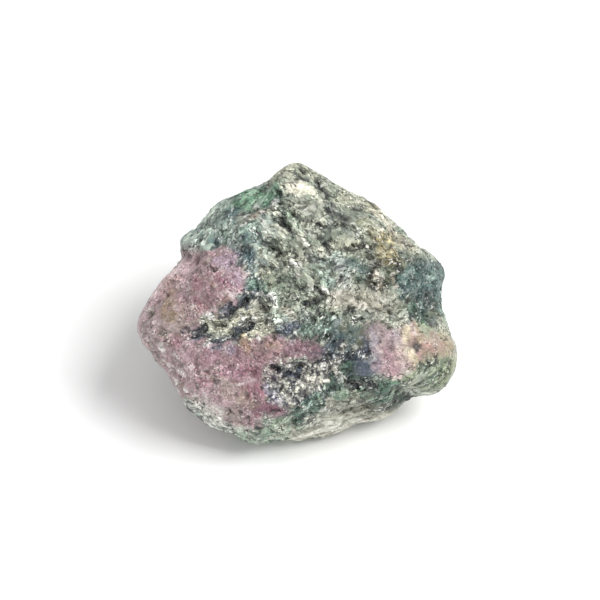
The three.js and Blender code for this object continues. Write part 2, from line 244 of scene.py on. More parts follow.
SHOW_PATCHES = (
    # Smooth sheets in the grey slope
    Patch(Kind.SHEET, 1, (1.2, 12.2, 2.6, 11.4)),
    Patch(Kind.SHEET, 1.1, (7, 10.9, 8.4, 10)),
    Patch(Kind.SHEET, 0.8, (5.2, 8.7, 6.8, 8.3)),
    Patch(Kind.SHEET, 0.9, (-0.6, 14.6, 1.2, 14.2)),
    Patch(Kind.SHEET, 0.7, (-3.8, 9.4, -2.8, 9)),
    Patch(Kind.SHEET, 0.7, (-0.2, 7.6, 0.6, 6.8)),
    # The beige shelf under the grey slope
    Patch(Kind.BEIGE, 1.5, (4.9, 1.2, 7.6, 1, 10.9, 0)),
    # Green patches right of the middle
    Patch(Kind.MINT, 1.2, (4.5, 6, 6, 4.8)),
    Patch(Kind.MINT, 0.9, (2.6, 4.8, 4.2, 2.8)),
    Patch(Kind.TEAL_SMOOTH, 1, (7.2, 4.8, 8.6, 3.8)),
    Patch(Kind.OLIVE, 0.9, (10.9, 2.6, 12.6, 4.2)),
    Patch(Kind.OLIVE, 0.7, (11.2, 4.9, 12.8, 5)),
    Patch(Kind.TEAL_FIBRE, 1.3, (14.8, 3.8, 16.8, 4.4)),
    Patch(Kind.TEAL_FIBRE, 1.5, (14, 2.2, 17.2, 1.8)),
    Patch(Kind.BOTTLE, 1.2, (14.4, 0.2, 15.6, -1.2)),
    Patch(Kind.TEAL_FIBRE, 0.9, (16.2, 0.2, 16.4, -0.8)),
    Patch(Kind.OLIVE, 0.9, (16.4, -1.5, 17.8, -1.5)),
    # The grey-green shoulder above the ruby
    Patch(Kind.SHOULDER, 2.9, (-12.8, 7.8, -9, 10, -5.4, 11.4)),
    Patch(Kind.SHOULDER, 1.8, (-8, 8, -4.6, 8.6)),
    Patch(Kind.EMERALD, 1.5, (-6.2, 13.2, -3.2, 13.8)),
    Patch(Kind.FRINGE, 1.3, (-6.6, 6.8, -5.2, 4.6)),
    Patch(Kind.FRINGE, 1.1, (-6, 4.6, -5.2, 3.4)),
    Patch(Kind.TEAL, 1.3, (-7, 1.9, -4.9, 2.3)),
    # The upper ruby lobe, out to its tip on the left
    Patch(Kind.RUBY, 1.6, (-13.2, 5, -8.9, 5.4)),
    Patch(Kind.RUBY, 1.9, (-14.5, 2.6, -8.1, 3)),
    Patch(Kind.RUBY, 1.8, (-16.4, 0, -9, 0)),
    Patch(Kind.RUBY, 1.9, (-18.2, -2.4, -12.4, -2.2)),
    Patch(Kind.RUBY, 2.2, (-18.4, -5, -13.6, -5.2)),
    Patch(Kind.RUBY_DULL, 1.7, (-17.6, -2.6, -15.6, -3.6)),
    # The lower ruby lobe, with its tail to the right
    Patch(Kind.RUBY, 1.9, (-16.4, -6.4, -8, -7)),
    Patch(Kind.RUBY, 1.9, (-15.1, -8.9, -5, -8.4)),
    Patch(Kind.RUBY, 1.8, (-13.2, -11.4, -5.6, -11.2)),
    Patch(Kind.RUBY, 1.4, (-10, -13.4, -4.8, -13.4)),
    Patch(Kind.RUBY, 1, (-6.8, -15, -5.2, -14.8)),
    Patch(Kind.DEEP_RUBY, 0.9, (-4.6, -12.8, -1.9, -13.3)),
    Patch(Kind.RUBY, 1.8, (-6.4, -6.2, -1.6, -5.3)),
    Patch(Kind.DEEP_RUBY, 1, (-0.2, -5.6, 2.2, -5.9)),
    # The navy cleft between the lobes, and its cream flakes
    Patch(Kind.NAVY, 0.95, (-8.8, -1.3, -7.2, 0, -5.4, 0.9)),
    Patch(Kind.CLEFT, 0.9, (-11.2, -2, -9.6, -2.4, -7, -1.2, -4.2, -0.2)),
    Patch(Kind.CLEFT, 1.5, (-6.2, -2.5, -3.4, -2.6)),
    Patch(Kind.NAVY, 0.85, (-12.4, -4, -10.8, -3.4)),
    Patch(Kind.CLEFT, 0.5, (-10.2, -3.5, -8.2, -2.9)),
    Patch(Kind.NAVY, 0.6, (-10, -4.9, -7.4, -3.6, -5.8, -2.6)),
    # Navy, green and teal between the ruby tail and the right-hand patch
    Patch(Kind.NAVY, 0.6, (-1.6, -3.2, 0.6, -2.5, 1.8, -2.4)),
    Patch(Kind.BOTTLE, 1.1, (1.8, -3.3, 4.4, -2.7)),
    Patch(Kind.TEAL_SMOOTH, 1.5, (5.6, -2.9, 7.2, -4.2)),
    Patch(Kind.NAVY, 0.95, (3.8, -6, 5.4, -5.2)),
    # The speckled pocket below
    Patch(Kind.SPECKLE, 2.1, (-2.1, -9.3, 1, -9.2, 4.6, -8.4)),
    Patch(Kind.SPECKLE, 1.4, (-2.6, -11.4, 0.2, -12)),
    Patch(Kind.SPECKLE, 1.1, (1.4, -11.2, 3.4, -10.8)),
    Patch(Kind.SPECKLE, 0.9, (5.2, -6.4, 5.6, -7.6)),
    Patch(Kind.BOTTLE, 1, (6.4, -8, 7.2, -9)),
    Patch(Kind.BEIGE, 0.6, (4.8, -12.4, 7.6, -12.6)),
    Patch(Kind.BOTTLE, 0.9, (4.2, -10.6, 6, -10.9)),
    # The right-hand pink patch and what surrounds it
    Patch(Kind.PINK, 1.4, (10.4, -3.9, 12.4, -4.6)),
    Patch(Kind.PINK, 1.8, (10.6, -6.6, 13.6, -7.5)),
    Patch(Kind.PEACH, 1.5, (13.2, -4, 16.2, -5.2)),
    Patch(Kind.PEACH, 1.2, (16.8, -4.6, 19, -5.8)),
    Patch(Kind.PEACH, 0.9, (14.4, -6.6, 16.6, -7.4)),
    Patch(Kind.SLATE, 1, (8.4, -7.6, 8.9, -8.5)),
    Patch(Kind.SLATE, 0.6, (8.2, -3.8, 8.9, -5.2)),
    Patch(Kind.NAVY, 0.95, (6.8, -6.4, 8.6, -6.2)),
    Patch(Kind.MINT, 0.5, (5.6, -9.6, 6.1, -10.4)),
    Patch(Kind.BOTTLE, 1.2, (7.6, -9.9, 12.2, -10.3)),
    Patch(Kind.BOTTLE, 1, (9, -11.6, 12.8, -11.9, 13.2, -12.6)),
    Patch(Kind.GREY_DARK, 0.8, (7, -10.4, 9.4, -10.6)),
    Patch(Kind.GRASS, 1.5, (14.6, -9.2, 18.8, -8.2)),
    Patch(Kind.GRASS, 0.9, (14.2, -10.6, 17.8, -10)),
    # The underside of the show face
    Patch(Kind.LAYERED, 1.3, (0.4, -16.6, 5.5, -15.8, 10.5, -14.2, 12.2, -13.6)),
    Patch(Kind.LAYERED, 1.1, (4.2, -14.2, 9.6, -13)),
    Patch(Kind.CELADON, 1.1, (-3.4, -15.2, -1, -15)),
    Patch(Kind.STREAK, 0.95, (-0.6, -14.5, 0.9, -13.5, 3, -12)),
    Patch(Kind.CELADON, 1.1, (-6.6, -16.2, -1.6, -16.9)),
    Patch(Kind.RIM, 1.2, (-13.4, -12.6, -9.2, -15.2)),
)


MARKS = (
    # Pale and green clouds in the grey schist, and its duller slope at the right
    Mark("565e50", 0.26, 2, 0, ((6.8, 9.4, 10.6, 8, 12, 5.4, 12.6, 2.8),)),
    Mark("f0ebd8", 0.75, 0.6, -0.1, ((-0.6, 14.4, 0.4, 14.6, 1.2, 14.2, 2.2, 13.9), (0.9, 14.2, 0.9, 13.6))),
    Mark("e6e2ce", 0.5, 0.6, 0, (
        (-1.6, 14.8, 0.2, 15.2), (3, 13.2, 3.6, 11.6, 3.2, 10.2), (-3.4, 9.5, -2.2, 9, -3.3, 8.5),
        (0.9, 12.3, 1.8, 12), (0, 9.1, 0.8, 8.5), (-0.6, 6.3, 0.8, 5.4), (3, 6.6, 3.8, 6.4),
        (9.2, 9.6, 10, 9.4), (-3.8, 11.9, -2.8, 11.3), (1.2, 10, 2.5, 9.6), (5.6, 7.6, 6.8, 7.4),
        (4.6, 7.2, 5, 7), (6.2, 14, 8, 12.9))),
    Mark("aeb6b8", 0.5, 0.65, 0, ((5.5, 4.8, 6.3, 2.7),)),
    Mark("cfcbb0", 0.45, 0.8, 0, (
        (5.3, 8, 7.2, 7.8), (-1.6, 16.8, 0.4, 17.2, 2.4, 16.3), (-4, 3.8, -3, 2.8),
        (5.4, 13.2, 7, 12.4))),
    Mark("a9bfa6", 0.45, 0.7, 0, ((-0.4, 10.4, 0.4, 9.6), (-2.6, 3.4, -2.2, 2.2), (2.9, 4.2, 3.4, 2.6))),
    # Pale green flakes, and painted light along the upper left rim of the shoulder
    Mark("d4e2d4", 0.6, 0.45, 0, (
        (-2.4, 1.4, -2.6, -1.6), (-3.8, -1.4, -2.2, -1.9, -0.6, -1.6),
        (-13.9, 8, -12.4, 9.8, -9.6, 12.2), (-11.4, 9.2, -10.2, 9.6), (-3.6, 7, -3.6, 6.2, -2.8, 6.6),
        (5.2, 6.3, 6.4, 5.6), (-8.8, 9.6, -7.6, 9.2), (-3.7, 9.6, -2.9, 9.2), (-11.6, 8.3, -11, 7.3),
        (-13.8, 8.2, -12.8, 7.6), (-13.8, 7, -12.6, 6.9), (-11.6, 10.6, -10.2, 12.2),
        (-11.5, 11.2, -9.9, 12.5))),
    # Shade and hairlines round the smooth sheets
    Mark("6c746c", 0.4, 0.9, 0, ((0.9, 12.4, 2.6, 11.3), (-3.8, 9.8, -2.8, 9.2), (-0.9, 7.8, 0.2, 7.2))),
    Mark("3c403c", 0.6, 0.16, 0.1, (
        (0.9, 12.7, 1.9, 12.4, 2.8, 11.6), (0.5, 11.7, 1.6, 11.4, 2.4, 10.8),
        (6.4, 10.6, 7.6, 10.3, 8.6, 9.6), (5.2, 8.9, 6.4, 8.8), (-0.8, 15.2, 0.2, 15.3),
        (6.8, 11.4, 7.8, 10.9))),
    # Bright flakes of white mica; on the ruby they are also painted glints
    Mark("f8f6ec", 0.85, 0.3, -0.15, (
        (-2.5, 12.8, -2.4, 12), (-0.3, 5, 0.7, 4.4), (0.1, 3.9, 0.4, 3.5), (-4.4, 10.4, -4.1, 10),
        (1.1, 8, 1.4, 7.4), (12.3, 6.5, 12.1, 6.9), (10.1, 3.8, 10.7, 3), (-3.2, 0.2, -2.8, -0.2),
        (1.6, 2.2, 1.9, 1.9), (3.3, 1.9, 3.8, 1.5))),
    Mark("f6f4ee", 0.85, 0.22, -0.1, (
        (-12.9, -3.5, -12.2, -3.8), (-5.9, 1.6, -4.2, 1.3, -3.6, 0.9), (-15.2, -6.2, -14.7, -6.9),
        (-13.2, -7.8, -13.1, -8.1), (-14.3, -8.6, -14.1, -9), (-15.2, -9.5, -14.9, -9.9),
        (-12.5, -12.3, -12.3, -12.5), (-17, -4.9, -16.8, -5.6), (-9.5, 8.2, -9.4, 7.7),
        (-8.7, 1.9, -8.2, 1.1), (-5, -4.2, -4.6, -4.4), (-0.2, -3.4, 0, -3.8),
        (-16, -7.6, -15.8, -8.1), (-13.9, -10.5, -13.7, -10.9), (-14.6, -8.3, -14.5, -8.5),
        (9.8, -6.8, 9.6, -6.4), (-7.3, -7.6, -7.4, -8.2), (1.2, -1.1, 1.4, -1.3))),
    Mark("fbfaf6", 0.9, 0.32, -0.1, (
        (-11.8, -2.3, -11.5, -2.3), (-10.9, -1.5, -10.2, -1.8), (-5.3, -1.9, -4.8, -2.2),
        (-7.1, -1.8, -6.6, -2.1), (-2.9, 1.2, -2.7, 0.6))),
    Mark("f2e8e8", 0.6, 0.14, 0, ((-7.2, -10.1, -6, -9.6, -4.9, -9.4), (-5.8, 12.3, -4.6, 12))),
    # Painted shade in the dark bands that part the grey schist into lobes
    Mark("565e56", 0.45, 0.8, 0, (
        (4.4, -1.6, 6.4, -1.8), (6.2, 9.6, 7.2, 9), (-8.6, 11.4, -5.4, 11.8), (11.6, 4.6, 12.4, 5),
        (6.2, 5.4, 7.4, 4.8), (6.6, -1.6, 9.6, -2), (-8.8, -1.4, -8, -2.2), (13.8, 2.8, 14.6, 2.4),
        (16.4, 0.6, 17.2, 0), (5.6, -6.2, 7.4, -6.6), (-4.5, -15, -3.4, -15.2),
        (-5.6, -16.2, -4.4, -16.6), (10.4, 7.9, 11.2, 7.7), (12.4, 6.5, 13, 6.2), (7.2, 10.6, 8, 10.2))),
    Mark("555b5a", 0.5, 0.55, 0.1, (
        (2.9, 15, 3.8, 13.6, 4.4, 12.5, 5.3, 11.3), (4.2, 11.6, 4.1, 9.8, 4.1, 8.9, 3.8, 7.9),
        (9.2, 2.4, 9.5, 4.8), (5.8, -8.4, 7.6, -8.6), (2.4, -4.2, 5, -4), (3.6, -10.5, 5, -11.2),
        (8.2, 7.2, 9.6, 6.9, 10, 5.6), (6, 9.8, 7.6, 8.8), (-13.6, -12.8, -12.6, -13.6))),
    # Black crevices and hairlines in painted shade, dark green seams and the two notches
    Mark("202428", 0.92, 0.34, 0.4, (
        (0.5, 17.2, 0.9, 16.7), (0.2, 15.7, 1.6, 15.8), (2.4, 15.6, 3, 14.8, 3.9, 14.1, 4, 13.5),
        (4.2, 11.9, 4.7, 11.3, 5.6, 11.1, 6.5, 10.7), (7.2, 12, 8.4, 11.7),
        (2.7, 9.9, 3.3, 9.4, 4.2, 9.2), (2.6, 8.5, 3.6, 8.2, 5, 8.1), (3.3, 7.8, 3.9, 7.4),
        (-2.6, 14, -1.9, 13.4), (-2.9, 10.8, -1.6, 10.4, -1.1, 9.6, -0.9, 8.8),
        (1.4, 6.1, 2.2, 5.5, 3.3, 5.5), (-4.8, 0.6, -4.2, -0.4), (2.6, 1.9, 3.2, 1, 2.6, 0.2, 1.4, 0.1),
        (5.8, -1.6, 6.8, -0.6), (7.6, -2.2, 8.4, -2))),
    Mark("181c20", 0.85, 0.4, 0.5, (
        (3.7, 13.1, 4.4, 12.6, 4.9, 12.1), (5.1, 11.2, 6.6, 10.6), (-4.2, 7.7, -3, 7.3, -2.7, 7.9),
        (9.4, 4.9, 9.3, 3, 9.7, 2.4), (11.3, -0.4, 11.8, -1.1), (7, 6.9, 8.2, 7.2, 9.6, 7),
        (9.1, 6.4, 9.8, 5.2))),
    Mark("201f1c", 0.85, 0.2, 0.3, (
        (-2.4, 7, -1.8, 6.3, -2.5, 6), (11.2, -8.2, 11.5, -8.4), (-16.6, 1.6, -16.2, 1.2),
        (-0.5, 11.9, 0.4, 12.1, 1.3, 12.5), (-0.4, 11.1, 0.9, 10.6, 2, 10.3), (8, 7.6, 8.8, 7.5),
        (4.4, 10.5, 6.2, 9.9, 7.4, 9.8), (4.1, 6.9, 5.4, 6.8, 6.8, 6.8), (10.1, 7.6, 11.4, 7.7),
        (10.2, 5, 12.2, 5.3), (7.9, 0.8, 8.9, 0.2, 9.6, -0.6, 11, -0.8), (0.3, 2, 1.4, 2),
        (-1.8, 12.6, -0.9, 12.3), (-0.9, 6.9, -0.7, 6.4), (2.3, 4.1, 2.2, 3.4), (4.1, -1.2, 4.8, -1.1),
        (16.8, -0.6, 17.8, -0.7), (-5, 9.1, -4.8, 9), (-2.2, 3.4, -2.4, 2.3), (12, -1.6, 12.7, -1.9),
        (-12.2, 8.1, -11.9, 8.1), (-4.5, -2, -4.3, -2.2), (0.2, -16.3, -0.2, -16.4),
        (1.2, 9.2, 2.2, 8.9), (0.8, 6.9, 2, 6.5), (9.2, 8.9, 9.9, 8.2), (-0.4, 1.3, 0.2, 0.4))),
    Mark("35423a", 0.55, 0.5, 0.1, (
        (10.4, 7.2, 12, 6.9), (10.4, 4.6, 12.6, 4.8), (13.6, 0.8, 15.4, 0.2), (15.6, -1, 17.4, -1.6),
        (11, 1.8, 12.4, 2.6), (8.6, 4.8, 8.8, 2.8), (-1.8, 3, -0.6, 3.2, -0.2, 2.6),
        (10.9, 2.8, 11.8, 3.1), (16.6, -1.6, 17.2, -2), (12.4, -12.5, 13.2, -12),
        (14.4, 1.3, 15.2, 1.1), (4.2, 5.6, 4.5, 4.2), (14.6, -1.2, 14.4, -1.9), (16.4, 0.8, 17.2, 0.2),
        (13.2, 3.2, 13.9, 3.8))),
    Mark("2c443e", 0.65, 0.7, 0.05, (
        (0.9, -13.8, 2.5, -12.6), (13.4, 2.7, 14.8, 2.3), (3.2, -4, 5.2, -4.3), (3.8, -8.8, 4.8, -9))),
    Mark("2a3048", 0.7, 0.3, 0.1, ((-0.9, 9.1, -0.3, 8.9, -0.5, 8.4),)),
    Mark("8a7a78", 0.3, 0.5, 0.3, ((-14.4, 5.9, -13.6, 5.8), (-3.7, 15.5, -3.3, 14.6))),
    # Duller places in the green and beige patches at the right
    Mark("4a6862", 0.6, 0.9, 0, ((7.1, 4.9, 8.7, 3.7),)),
    Mark("4a564c", 0.6, 0.7, 0.05, ((12.9, 0.9, 14.4, 1.4),)),
    Mark("8c907c", 0.45, 0.8, 0, ((11.4, 0.6, 13.4, -0.4), (7.9, 1.2, 8.7, 0.9))),
    Mark("96927e", 0.45, 0.8, 0, ((8.6, 0.8, 10.2, -0.1), (-2, 16, -1.2, 15.6))),
    Mark("4c6054", 0.65, 0.6, 0, ((13.7, 2.8, 14.9, 2.5),)),
    Mark("38463c", 0.75, 0.65, 0.1, ((16.2, -1.5, 17.3, -2),)),
    # Iron stains and the pale flakes among them
    Mark("a8925c", 0.5, 0.9, 0, ((10.8, 8.4, 12.4, 7.6), (10.8, 6.6, 12.2, 5.8))),
    Mark("b09c80", 0.5, 0.7, 0, ((11.8, 9.4, 13.2, 8.2, 14.2, 7.2),)),
    Mark("e0d4ac", 0.55, 0.3, -0.1, ((11.8, 7, 12.5, 6.5), (11.2, 5.6, 11.5, 5.2), (11.7, 8.1, 12, 7.8))),
    Mark("d8c8b4", 0.6, 0.45, 0, ((9.9, 3.8, 10.6, 2.2), (12.2, 3.5, 12.6, 2.3))),
    Mark("4c3e2e", 0.7, 0.3, 0.2, ((9.2, 3.2, 9.4, 2.2), (7.6, 2.6, 9, 2.3), (10.4, 5.4, 11.8, 4.9))),
    Mark("a8aaa8", 0.5, 0.7, 0, ((5.2, 5.4, 6, 3.4),)),
    Mark("a69c70", 0.4, 0.7, 0, ((9, 12.2, 9.7, 11.7), (8.4, 10.2, 9.4, 9.2))),
    Mark("c0a488", 0.55, 0.6, 0, ((-16.4, 3, -15.4, 2.2),)),
    Mark("9a8a5c", 0.35, 0.8, 0, ((-16, 0.6, -15.6, -1.8), (-6.2, -11.9, -5.4, -12.5))),
    Mark("b28c72", 0.35, 0.7, 0, ((-6.4, -5, -5.6, -5.8), (-3.4, -5, -2, -5.4))),
    # Tan, olive and rose edges of the right-hand patch
    Mark("9a8a66", 0.5, 0.6, 0, ((15.1, -3, 16, -4.8), (18.4, -3.6, 19.2, -6))),
    Mark("8c8068", 0.5, 0.5, 0, ((18.9, -3.2, 19.4, -5.4),)),
    Mark("c08c98", 0.55, 0.7, 0, ((10.6, -8.2, 12.6, -8.7),)),
    Mark("a08270", 0.5, 0.7, 0, ((16.8, -4, 18.2, -4.4), (16.6, -5.6, 17.8, -5.8))),
    Mark("d0c6a0", 0.55, 0.5, 0, ((13.9, -6, 15, -6.6), (13.6, -3.2, 13.8, -4.2))),
    Mark("c09a94", 0.5, 0.4, 0, ((15.5, -6.2, 15.9, -7.2), (14.4, -3, 14.6, -4.2), (16.2, -5, 17, -5.6))),
    Mark("868a6a", 0.5, 0.6, 0, ((16, -2.8, 18.2, -3.4), (16.8, -6.7, 18.8, -6.5))),
    Mark("8c8466", 0.5, 0.35, 0, ((8.3, -2.9, 8, -4.4), (6.2, -4.6, 7.6, -3.6))),
    # Red-brown grains in the ruby
    Mark("78524a", 0.5, 0.3, 0.1, (
        (-13.8, 6.4, -13.3, 5.7), (-12, -0.2, -11.2, -0.4), (-17.8, 0.3, -17.5, 0),
        (-10, -0.2, -9.6, -0.5), (-6.6, -10.6, -6.1, -10.4))),
    # Where the ruby is clearer, deeper, greyer or paler
    Mark("b4a2b4", 0.6, 0.9, 0, ((-9.8, 5.6, -7.8, 5.8), (-7.8, 4.4, -7.6, 3))),
    Mark("bc9698", 0.6, 0.6, 0, ((-4.2, -6.6, -2.4, -6.2),)),
    Mark("96707a", 0.55, 0.9, 0, (
        (-6.8, -6.6, -5.2, -6.4), (-6.8, -7.8, -4.6, -7.8), (-14, -8.8, -11.8, -10.4),
        (-5, -9, -5.4, -11.6), (-13.6, -6.6, -12, -7.8))),
    Mark("54404a", 0.6, 0.6, 0, ((-3.6, -12.8, -1.8, -13.2), (-4.6, -13.6, -3, -13.6))),
    Mark("a8905c", 0.4, 0.5, 0, ((-6.6, -3.8, -6.2, -5.6), (-7, -4.2, -6.9, -5.2))),
    Mark("9a5c70", 0.42, 0.65, 0, (
        (-9.7, 3.4, -8.8, 2.4), (-12.6, 0.5, -11.9, -0.3), (-12, -9.6, -11, -9.9),
        (-6.8, -8.3, -5, -8.8), (-5.2, -10.4, -4.4, -11), (-3.8, -12.9, -2.4, -13),
        (-5.6, -14.4, -4.8, -13.6), (-15.2, -4.6, -14.6, -5.2), (-12.8, 3.2, -12.4, 2.4))),
    Mark("80606a", 0.55, 0.85, 0, (
        (-11.6, -6.6, -9.4, -6.8), (-9.6, -8.2, -7.6, -8.7), (-8.6, -5.8, -7.4, -6.2),
        (-11.6, 1.6, -10.8, 0.6), (-8.6, -8.6, -7.4, -8.9))),
    Mark("a09488", 0.45, 0.8, 0, (
        (-8.6, -10.2, -7.8, -12), (-14.2, -0.4, -14.6, -2.4), (-8.4, -13.4, -7.6, -14))),
    Mark("d6bcc4", 0.45, 0.7, 0, (
        (-14.2, -5.8, -13.4, -7.2), (-13.8, -8.4, -12.8, -8.9), (-14.4, 5.4, -13, 4.4),
        (-16.4, 3.2, -15.2, 2.2), (-18.8, 0.8, -19.4, -1.8), (-13, -11, -11.4, -11.4),
        (-14.6, 3.2, -13.8, 2.2), (-10.6, -12.4, -9.6, -12.8), (-17.6, -2.2, -18.2, -3.8),
        (-18.4, 0, -16.8, 2), (-15.8, 3.4, -13.8, 5))),
    # Painted light along the left rim of the ruby
    Mark("e2d2cc", 0.5, 0.45, 0, ((-19.4, -0.9, -17.4, 1.7, -16, 3.3, -14.8, 4.6),)),
    Mark("b0886a", 0.5, 0.5, 0, ((-16.2, 2.8, -15, 3.2), (-16.6, 1.7, -15.8, 1.5))),
    Mark("8e7c54", 0.4, 0.75, 0, ((-15.5, 1.4, -16.3, -1.4),)),
    # White flakes in the ruby, which are also painted glints, and greyer and deeper edges of it
    Mark("fbf8f4", 0.9, 0.25, -0.1, (
        (-14.2, -8.6, -14.1, -8.9), (-15.1, -9.4, -14.9, -9.8), (-12.5, -12.2, -12.2, -12.5),
        (-11.1, -4.9, -10.9, -5.1))),
    Mark("9a93a8", 0.5, 0.5, 0, ((-9.8, -5.4, -8, -6), (-3.2, -11, -2.8, -12.2), (-8.4, 0, -8.8, -1.4))),
    Mark("5f4454", 0.55, 0.5, 0.05, (
        (0.8, -5.6, 1.4, -6.2), (2.4, -6.6, 2.9, -6.4), (3.4, -5.8, 4.6, -6.2))),
    # Painted shade in the pits and in the dark hole of the right-hand patch
    Mark("302628", 0.8, 0.2, 0.3, (
        (-10.8, 4.8, -10.4, 4.2), (-16.8, -3.8, -16.5, -4.7), (-12.5, -10.3, -12.3, -10.7),
        (-9.2, 2.8, -9, 2.5), (-18.2, -1, -18, -1.4), (10.2, -4.9, 10.5, -4.7),
        (10.6, -7.4, 10.9, -7.7), (-13.9, 6.3, -13.2, 5.8), (6, -14.3, 6, -14.5),
        (-3, -13.4, -2.2, -13.3), (-19.8, -1.6, -20, -3.2), (-4.9, -15.4, -4.6, -15.6),
        (-1.4, -13.9, -1, -14.1), (-11.2, -14.6, -10.9, -14.8))),
    Mark("2a3438", 1, 0.45, 0.35, ((15.1, -5.2, 15.3, -5.7),)),
    Mark("10161a", 1, 0.36, 0.35, ((15.1, -5.2, 15.3, -5.7),)),
    # The navy cleft with its cream flakes
    Mark("272e3c", 0.8, 0.45, 0.35, ((-9.6, -4.9, -8.4, -4.3, -7.2, -3.5),)),
    Mark("272e3c", 0.8, 0.34, 0.35, (
        (-12.7, -4.1, -11.7, -3.6, -11.2, -2.9), (-8.7, -1.5, -7.4, -0.4, -6.2, 0.4),
        (-6.4, -3, -5.6, -2.4))),
    Mark("3a3a34", 0.65, 0.16, 0.2, (
        (-9.4, -2.9, -8.4, -2.2, -7.6, -1.6), (-7.4, -2.2, -6.6, -1.4, -5.6, -1),
        (-5.2, -2.9, -4.6, -1.9), (-5.6, -3.7, -4.8, -3.2), (-3.6, 0.6, -3.4, -0.6),
        (-9.8, -1.2, -9.2, -1.9))),
    Mark("35322a", 0.8, 0.28, 0.3, (
        (-6.9, -2.8, -5.9, -1.9), (-4.4, 0, -3.8, -0.9), (-10.2, -3, -9, -2.6),
        (-3.9, -1.6, -3.8, -2.8), (-3.3, -1.4, -3.2, -2.4))),
    Mark("d8ccb8", 0.55, 0.55, 0, ((-1.3, -0.8, -0.5, -1.6),)),
    Mark("ecead4", 0.75, 0.35, -0.1, (
        (-10.2, -3.5, -9, -3.1, -8.2, -2.8), (-8.6, -2.4, -7.2, -1.6, -5.4, -0.9),
        (-6, -3.6, -4.6, -3.3, -4.2, -3.9), (-5, -1.4, -4.4, -2.6), (-3.8, -2.6, -3.2, -3.4))),
    Mark("c6dad2", 0.65, 0.22, 0, (
        (-8.6, -5.4, -7.2, -4.8), (-10.8, -4.6, -9.8, -4.3), (-2.6, -2.8, -1.6, -2.9))),
    # The white and black flakes of the pocket
    Mark("efede2", 0.75, 0.34, -0.15, (
        (-2.8, -8.4, -2, -8.9), (-1.2, -7.1, -1.1, -7.7), (-3.4, -10.8, -2.4, -10.3),
        (2, -7.9, 3.2, -7.7), (1.3, -8.9, 2.1, -8.9), (3.3, -8, 3.5, -8.6), (2.6, -9.7, 2.8, -10.8),
        (-2, -12.6, -1.6, -12.8), (5, -8.4, 4.8, -7.8), (5.4, -5.8, 5.9, -5.4),
        (-0.5, -8, -0.3, -8.1), (4, -7.4, 4.2, -7.2), (8.7, -6.7, 9.1, -6.9))),
    Mark("1f2430", 0.85, 0.34, 0.35, (
        (-0.9, -8.8, -0.2, -9), (-3, -8, -2.3, -8.1), (-1.8, -10.6, -1.2, -10.9),
        (-0.2, -11.9, 0.4, -12.3), (-3.8, -9.6, -3.3, -9.8), (-1.8, -9.5, -0.8, -9.4),
        (0.2, -9.1, 0.9, -9.6), (3.2, -7.2, 4, -7.1), (6.2, -6.8, 7.4, -6.7), (7.6, -6.1, 9, -6),
        (5.4, -6.2, 6, -7.2), (4.6, -5.2, 5.4, -5.5), (6.2, -9.6, 7, -9.9), (7.8, -10.4, 8.1, -11),
        (8.6, -9.6, 9.4, -9.9), (4.2, -10.2, 4.5, -10.9))),
    Mark("e2dece", 0.65, 0.5, -0.1, (
        (0.4, -10.3, 1.3, -10.5), (-1.4, -11.3, -1, -11.7), (-1.8, -9.7, -1.3, -9.9),
        (1.6, -9.5, 3.4, -9.8))),
    Mark("2c3242", 0.65, 0.5, 0.2, (
        (-0.7, -11, -0.4, -11.8), (-2.6, -9.4, -2.2, -10.3), (0.8, -11.2, 1.2, -11.6),
        (1.9, -10.2, 2.3, -10.6))),
    Mark("6c6888", 0.6, 0.6, 0, ((-3.7, -10.4, -2.9, -11.6, -2, -12.3),)),
    # Green and slate shades round the pocket
    Mark("3e5a5c", 0.6, 0.7, 0, ((5.4, -3.8, 6.8, -4.2), (4.2, -6.2, 4.8, -5.6))),
    Mark("36444e", 0.65, 0.7, 0, ((7.7, -6.7, 8.5, -7.5),)),
    Mark("556074", 0.5, 0.9, 0, ((8.4, -7.6, 9.2, -8.6), (-2, -3.4, -0.8, -3), (-1.4, -8.5, -0.4, -8.5))),
    # Streaks in the right-hand patch, the green lobe and the layers below
    Mark("eee0c8", 0.5, 0.55, 0, (
        (14.4, -6.2, 14.2, -7), (13.9, -3.2, 13.7, -4.4), (12.8, -5.6, 13, -7.2))),
    Mark("92707c", 0.55, 0.85, 0, (
        (10.4, -7.4, 12.2, -8.2), (12.8, -7, 13.8, -7.8), (11.6, -6.6, 12.2, -6.2))),
    Mark("8e8e9a", 0.5, 0.6, 0, (
        (9.6, -3.2, 9.9, -4.6), (12.2, -3.2, 12.4, -4.6), (9.9, -6.2, 10.4, -8.6))),
    Mark("f0e2dc", 0.45, 0.2, 0, (
        (12.4, -4.8, 12.6, -5.2), (11, -7.4, 11.2, -8.2), (13.6, -6, 13.5, -7.6),
        (12.9, -8.8, 13.2, -9.6), (10.2, -5.6, 10.7, -6), (14.6, -3, 14.9, -3.9))),
    Mark("4c6a4c", 0.5, 0.3, 0.1, (
        (16.2, -8.8, 17.6, -7.4), (16.4, -9.6, 18.2, -8.4), (17.2, -7, 18.8, -7.2),
        (16, -2.3, 16.6, -2.9))),
    Mark("d4dcc0", 0.5, 0.25, 0, (
        (15.2, -10.6, 17, -10.2), (16.6, -8.6, 17.6, -7.8), (17.6, -9.6, 18.6, -8.6))),
    Mark("edebdf", 0.7, 0.6, 0, (
        (1.8, -14.3, 3.8, -14.7), (8, -14.7, 9.4, -14.5), (3, -15.6, 6.4, -15.2),
        (3.6, -14.9, 5.2, -15), (0.2, -16.9, 2.6, -16.5))),
    Mark("dce0d4", 0.55, 0.7, 0, (
        (-9.2, -15.4, -6, -15.9), (13.6, -10.6, 16.8, -11.1), (15, -9.8, 16, -9.4))),
    Mark("dce0d4", 0.5, 0.5, 0, (
        (13.9, -10.6, 14.9, -11), (-3.5, 0.9, -3, 0.1), (-3.6, -16.9, -0.8, -17.1))),
    Mark("e6dfd6", 0.65, 0.8, 0, ((-12.4, -12, -9.6, -13.8),)),
    Mark("65685a", 0.65, 0.9, 0, (
